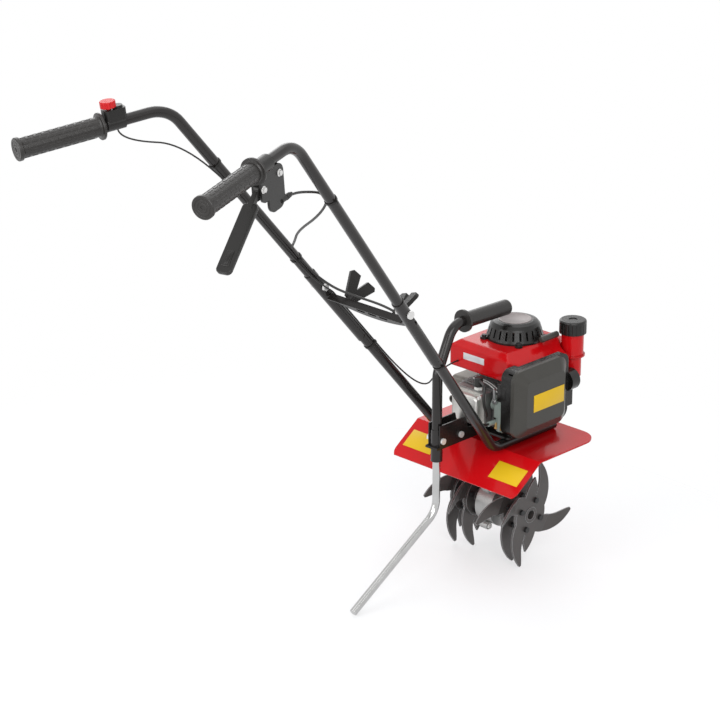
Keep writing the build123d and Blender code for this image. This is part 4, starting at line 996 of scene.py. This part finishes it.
@dataclass
class Handles(Assembly):
    """Folding handles with their braces, grips and controls, in the drawing's millimetres.

    Attributes:
        grip_length: Length of a grip.
        grip_r: Its radius.
        grip_bore: Radius of its bore.
        guard_r: Radius of the flange at its inner end.
        cap_r: Radius of its outer end.
        groove_r: Outer radii of the ring grooves on that end.
        rib_rows: Rows of raised dashes round a grip.
        rib_columns: Dashes in a row.
        rib_start: First dash, from the inner end.
        rib_pitch: Distance from dash to dash.
        rib_size: Sizes of a dash outwards, round and along the grip.
        rib_edge: Radius of its edges.
        cheek: Level place of the throttle bracket's outer cheek.
        bolts: Distances down and along of the bolts on it.
        washer: Profile of their washers.
        head: Profile of their heads.
        boot: Place of the cable boot in the grip's frame.
        rings: Its profile.
        lever_axis: Place of the lever's pin in that frame.
        lever_turn: Angle of the lever from the grip's direction, in degrees.
        pad_reach: Middle of the finger pad, down the lever.
        pad_rise: Its height over the lever's line.
        pad_size: Sizes level, outwards and down the lever.
        ridge_rise: Height of the ridge over the pad's middle.
        ridge_size: Its sizes.
    """

    looks: ClassVar[dict[Finish, list[str]]] = {
        TUBE_BLACK: ["lower_tubes", "upper_tubes"],
        SHEET_BLACK: ["lower_brace", "upper_brace"],
        KNOB_BLACK: ["wing_knob_right", "wing_knob_left", "upper_cable_ties", "lower_cable_ties"],
        BOLT: ["pivot_bolts"],
        LEVER_BLACK: ["throttle_bracket", "throttle_lever", "switch_housing"],
        RED_KNOB: ["switch_knob"],
    }
    grip_length: float = 162.0
    grip_r: float = 18.0
    grip_bore: float = 10.6
    guard_r: float = 25.0
    cap_r: float = 21.5
    groove_r: tuple[float, ...] = (16, 10)
    rib_rows: int = 14
    rib_columns: int = 9
    rib_start: float = 18.0
    rib_pitch: float = 15.6
    rib_size: Point = (1.4, 4.6, 11)
    rib_edge: float = 0.5
    cheek: float = -10.0
    bolts: tuple[Span, ...] = ((36, -170), (26, -224))
    washer: Profile = ((0, 0), (6.4, 0), (6.8, 0.3), (6.8, 1), (6.4, 1.3), (0, 1.3))
    head: Profile = ((0, 1.2), (5, 1.2), (5.2, 1.6), (5.2, 4.4), (4.6, 5), (0, 5))
    boot: Point = (-7.7, 80, -243)
    rings: Profile = ((0, 0), (5.6, 0), (5.6, 3), (4.9, 3.6), (4.9, 5.4), (5.2, 6), (5.2, 8),
                      (4.5, 8.6), (4.5, 10.4), (4.8, 11), (4.8, 13), (3.4, 15), (3.1, 19), (0, 19))
    lever_axis: Point = (0, 36, -170)
    lever_turn: float = 37.5
    pad_reach: float = 138.0
    pad_rise: float = 4.0
    pad_size: Point = (15, 2.4, 30)
    ridge_rise: float = 1.1
    ridge_size: Point = (6, 1.6, 20)

    def pieces(self) -> list[Thing]:
        """Make the patterned grips and the small pieces at the throttle lever."""
        return [self._grips(), self._bolts(), self._boot(), self._pad()]

    def _grips(self) -> Thing:
        """Both rubber grips, with raised dashes and ringed ends.

        Returns:
            The piece.
        """
        bm = bmesh.new()
        for side in Side:
            origin = self.draw.grip(0, 0, 0, side)
            axis = (self.draw.grip(0, 0, 100, side) - origin).normalized()
            Shapes.lathe(bm, self._grip_profile(), origin, axis, steps=64)
            self._ribs(bm, origin, axis)
        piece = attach(Shapes.finish(bm, "patterned_grips", GRIP_BLACK, smooth=35.0), "handle")
        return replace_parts(piece, "handle_grips")

    def _grip_profile(self) -> Profile:
        """Turned outline of a grip, from its bore round to the middle of its end.

        Returns:
            Radius and distance past the grip's end.
        """
        inner, bore, guard, cap = -self.grip_length, self.grip_bore, self.guard_r, self.cap_r
        profile = [
            (0.0, 0.2), (bore, 0.2), (bore, inner), (guard - 0.8, inner), (guard, inner + 0.8),
            (guard, inner + 4.2), (guard - 0.8, inner + 5.0), (guard - 5.0, inner + 5.6),
            (self.grip_r, inner + 8.0), (self.grip_r, -5.0), (cap - 0.9, -4.0), (cap, -2.8), (cap, 2.6),
            (cap - 1.1, 4.0),
        ]
        for r in self.groove_r:
            profile += [(r, 4.0), (r - 0.5, 3.4), (r - 1.5, 3.4), (r - 2.0, 4.0)]
        return (*profile, (4.0, 4.0), (3.6, 2.8), (0.0, 2.8))

    def _ribs(self, bm: Mesh, origin: Vector, axis: Vector) -> None:
        """Raised dashes of one grip, every second row set on by half a pitch.

        Args:
            bm: Mesh that gets them.
            origin: The grip's end.
            axis: Direction out of that end.
        """
        across = axis.orthogonal().normalized()
        other = axis.cross(across)
        for row in range(self.rib_rows):
            a = math.tau * row / self.rib_rows
            out = across * math.cos(a) + other * math.sin(a)
            axes = (out, axis.cross(out), axis)
            for column in range(self.rib_columns):
                d = -self.grip_length + self.rib_start + self.rib_pitch * (column + 0.5 * (row % 2))
                centre = origin + axis * (d * MM) + out * (self.grip_r * MM)
                Shapes.block(bm, centre, axes, self.rib_size, self.rib_edge, segments=1)

    def _bolts(self) -> Thing:
        """Bright bolts on the outer cheek of the throttle bracket.

        Returns:
            The piece.
        """
        out = -self.draw.grip_axes()[0]
        places = [self.draw.grip(self.cheek, low, along, Side.RIGHT) for low, along in self.bolts]
        bm = Shapes.turned({32: self.washer, HEXAGON: self.head}, places, out)
        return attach(Shapes.finish(bm, "bracket_bolts", BOLT, smooth=30.0), "handle")

    def _boot(self) -> Thing:
        """Ringed rubber boot where the throttle cable leaves its stop.

        Returns:
            The piece.
        """
        place, along = self.draw.grip(*self.boot, Side.RIGHT), self.draw.grip_axes()[2]
        bm = Shapes.turned({32: self.rings}, [place], -along)
        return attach(Shapes.finish(bm, "cable_boot", SHEATH), "handle")

    def _pad(self) -> Thing:
        """Raised finger pad with a ridge, near the tip of the throttle lever.

        Returns:
            The piece.
        """
        bm = bmesh.new()
        level, low, along = self.draw.grip_axes()
        turn = math.radians(self.lever_turn)
        down = low * math.sin(turn) + along * math.cos(turn)
        out = along * math.sin(turn) - low * math.cos(turn)
        pin = self.draw.grip(*self.lever_axis, Side.RIGHT)
        middle = pin + (down * self.pad_reach + out * self.pad_rise) * MM
        Shapes.block(bm, middle, (level, out, down), self.pad_size, bevel=1.1, segments=3)
        ridge = middle + out * self.ridge_rise * MM
        Shapes.block(bm, ridge, (level, out, down), self.ridge_size, bevel=0.7)
        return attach(Shapes.finish(bm, "lever_pad", DOME_BLACK), "throttle")


@dataclass
class Cables(Assembly):
    """Throttle cable and switch wire, in the drawing's millimetres.

    Attributes:
        fold: Distances below the fold line where a cable is on the frame, and on the handles.
        cable_r: Radius of the throttle cable.
        cable_off: Its distance from a handle's line.
        wire_r: Radius of the switch wire.
        wire_off: Its distance from a handle's line, inboard and to the front or rear.
    """

    fold: Span = (10, -55)
    cable_r: float = 2.4
    cable_off: float = 13.2
    wire_r: float = 1.6
    wire_off: float = 12.4 * math.sqrt(0.5)

    def pieces(self) -> list[Thing]:
        """Make both cables."""
        return [self._throttle(), self._wire()]

    def _bending(self, name: str, stops: list[Vector], radius: float) -> Thing:
        """Cable that follows the handles above the fold and the frame below it.

        Args:
            name: Piece name.
            stops: Its route.
            radius: Its radius.

        Returns:
            The piece.
        """
        bm = bmesh.new()
        Shapes.sweep(bm, Shapes.route(stops), radius)
        piece = Shapes.finish(bm, name, SHEATH)
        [self.draw.span(0, t, 0) for t in self.fold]
        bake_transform(piece)
        return piece

    def _throttle(self) -> Thing:
        """Throttle cable from the lever to the carburettor.

        Returns:
            The piece.
        """
        d, off = self.draw, self.cable_off
        right, left = Side
        stops = [
            d.grip(-7.7, 80, -240, right), d.grip(-7.7, 80, -266, right),
            d.handle(-390, 17, -8, right), d.handle(-374, off, 0, right), d.handle(-350, off, 0, right),
            d.span(84, -302, -10), d.span(-20, -222, -10), d.span(-72, -162, -6),
            d.handle(-122, off, 0, left), d.handle(-50, off, 0, left),
            d.span(-88, -5, 5), d.span(-58, 13, 8), d.span(70, 13, 8),
            d.handle(70, off, 6, right), d.handle(195, off, 6, right),
            d.at(57, -140, 330), d.at(57, -91, 330),
        ]
        piece = self._bending("throttle_cable", stops, self.cable_r)
        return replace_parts(piece, "throttle_cable_upper", "throttle_cable_lower")

    def _wire(self) -> Thing:
        """Wire from the switch to the engine.

        Returns:
            The piece.
        """
        d, off, left = self.draw, self.wire_off, Side.LEFT
        stops = [
            d.grip(0, 12.2, -192, left), d.grip(0, 36, -192, left),
            d.handle(-440, off, -off, left), d.handle(-60, off, -off, left),
            d.span(-90, -14, -5), d.span(-88, 12, 3),
            d.handle(44, off, off, left), d.handle(372, off, off, left),
            d.at(-62, -108, 425), d.at(-62, -56, 425),
        ]
        piece = self._bending("switch_wire", stops, self.wire_r)
        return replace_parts(piece, "switch_wire_upper", "switch_wire_lower")


@dataclass(frozen=True)
class Lamp:
    """Soft square studio light.

    Attributes:
        name: Its name.
        place: Where it stands, in metres.
        aim: What it points at.
        size: Its side, in metres.
        power: Its power, in watts.
    """

    name: str
    place: Point
    aim: Point
    size: float
    power: float

    def build(self) -> None:
        """Make the light."""
        data = bpy.data.lights.new(self.name, "AREA")
        data.shape = "SQUARE"
        data.size = self.size
        data.energy = self.power
        Studio.stand(data, Vector(self.place), Vector(self.aim))


@dataclass
class Studio:
    """Floor, background, lights and camera.

    Attributes:
        draw: Places of the drawing.
        camera_place: The camera's place in the drawing.
        camera_aim: Point that it looks at.
        lens: Focal length, in millimetres.
        sensor: Width of the sensor, in millimetres.
        sky: Colour of the world's light.
        sky_strength: Its strength.
        floor_r: Radius of the floor, in metres.
        floor_z: Its height, in metres, just under the tines.
        floor_tones: Its two greys.
        floor_patch: Cells of their drift per metre.
        floor_shown: How far it covers the background under the machine.
        floor_fade: Distances between which the floor fades out, in metres.
        lamps: The lights.
    """

    draw: Drawing
    camera_place: Point = (3313.3, -3774.6, 2331.6)
    camera_aim: Point = (0, -404.8, 536.4)
    lens: float = 132.2
    sensor: float = 36.0
    sky: Colour = (0.93, 0.95, 1.0)
    sky_strength: float = 0.68
    floor_r: float = 2.6
    floor_z: float = -0.0006
    floor_tones: Span = (0.93, 0.95)
    floor_patch: float = 3.0
    floor_shown: float = 0.5
    floor_fade: Span = (0.5, 1.5)
    lamps: tuple[Lamp, ...] = (
        Lamp("key", (3.4, -2.2, 2.8), (0, 0.1, 0.5), 3.2, 105),
        Lamp("fill", (-0.8, -4.6, 2.2), (0, 0, 0.5), 3.6, 110),
        Lamp("top", (-0.4, 0.8, 4), (0, 0.1, 0.4), 3.6, 30),
        Lamp("back", (-3.4, 2.4, 2.4), (0, 0, 0.5), 2.8, 40),
    )

    @staticmethod
    def stand(data: bpy.types.ID, place: Vector, aim: Vector) -> Thing:
        """Stand a lamp or a camera at a place.

        Args:
            data: The lamp or camera.
            place: Where it stands.
            aim: What it points at.

        Returns:
            Its object.
        """
        thing = bpy.data.objects.new(data.name, data)
        thing.location = place
        thing.rotation_euler = (aim - place).to_track_quat("-Z", "Y").to_euler()
        bpy.context.scene.collection.objects.link(thing)
        return thing

    def build(self) -> None:
        """Set the stage."""
        self._camera()
        self._world()
        self._floor()
        for lamp in self.lamps:
            lamp.build()
        bpy.context.scene.view_settings.view_transform = "Standard"

    def _camera(self) -> None:
        """Camera at the photograph's place."""
        data = bpy.data.cameras.new("camera")
        data.lens = self.lens
        data.sensor_width = self.sensor
        place, aim = self.draw.at(*self.camera_place), self.draw.at(*self.camera_aim)
        bpy.context.scene.camera = self.stand(data, place, aim)

    def _world(self) -> None:
        """White where it is seen or mirrored, softer as light."""
        world = bpy.data.worlds.new("studio")
        world.use_nodes = True
        bpy.context.scene.world = world
        n = NodeTree(world.node_tree)
        shown = n.add("ShaderNodeBackground", {"Color": (1, 1, 1, 1), "Strength": 1.0})
        light = world.node_tree.nodes["Background"]
        n.feed(light.inputs["Color"], (*self.sky, 1.0))
        n.feed(light.inputs["Strength"], self.sky_strength)
        path = n.add("ShaderNodeLightPath")
        bright = n.maths("MAXIMUM", path.outputs["Is Camera Ray"], path.outputs["Is Glossy Ray"])
        seen = n.maths("MAXIMUM", bright, path.outputs["Is Transmission Ray"])
        mixed = n.add("ShaderNodeMixShader", {0: seen, 1: light.outputs[0], 2: shown.outputs[0]})
        n.feed(world.node_tree.nodes["World Output"].inputs["Surface"], mixed.outputs[0])

    def _floor(self) -> None:
        """Pale floor that fades into the background."""
        bm = bmesh.new()
        bmesh.ops.create_circle(bm, cap_ends=True, radius=self.floor_r, segments=96,
                                matrix=Matrix.Translation(Z_AXIS * self.floor_z))
        floor = Shapes.finish(bm, "floor", None)
        pale = bpy.data.materials.new("pale_floor")
        pale.use_nodes = True
        floor.data.materials.append(pale)
        n = NodeTree(pale.node_tree)
        shader = pale.node_tree.nodes["Principled BSDF"]
        place = n.place()
        greys = [(tone, tone, tone, 1.0) for tone in self.floor_tones]
        n.feed(shader.inputs["Base Color"], n.mix(n.noise(place, self.floor_patch), *greys))
        n.feed(shader.inputs["Roughness"], 0.85)
        n.feed(shader.inputs["Specular IOR Level"], 0.1)
        distance = n.add("ShaderNodeVectorMath", {0: place}, operation="LENGTH").outputs["Value"]
        near, far = self.floor_fade
        fade = n.add("ShaderNodeMapRange", {0: distance, 1: near, 2: far, 3: self.floor_shown, 4: 0.0},
                     interpolation_type="SMOOTHSTEP")
        n.feed(shader.inputs["Alpha"], fade.outputs[0])


def main() -> None:
    """Build every sub-assembly and the studio."""
    logging.basicConfig(level=logging.INFO, format="%(name)s: %(message)s")
    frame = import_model()
    draw = Drawing()
    for kind in (Rotor, Gearbox, Engine, Chassis, Handles, Cables):
        kind(frame["nodes"], draw).build()
    Studio(draw).build()


if __name__ == "__main__":
    main()
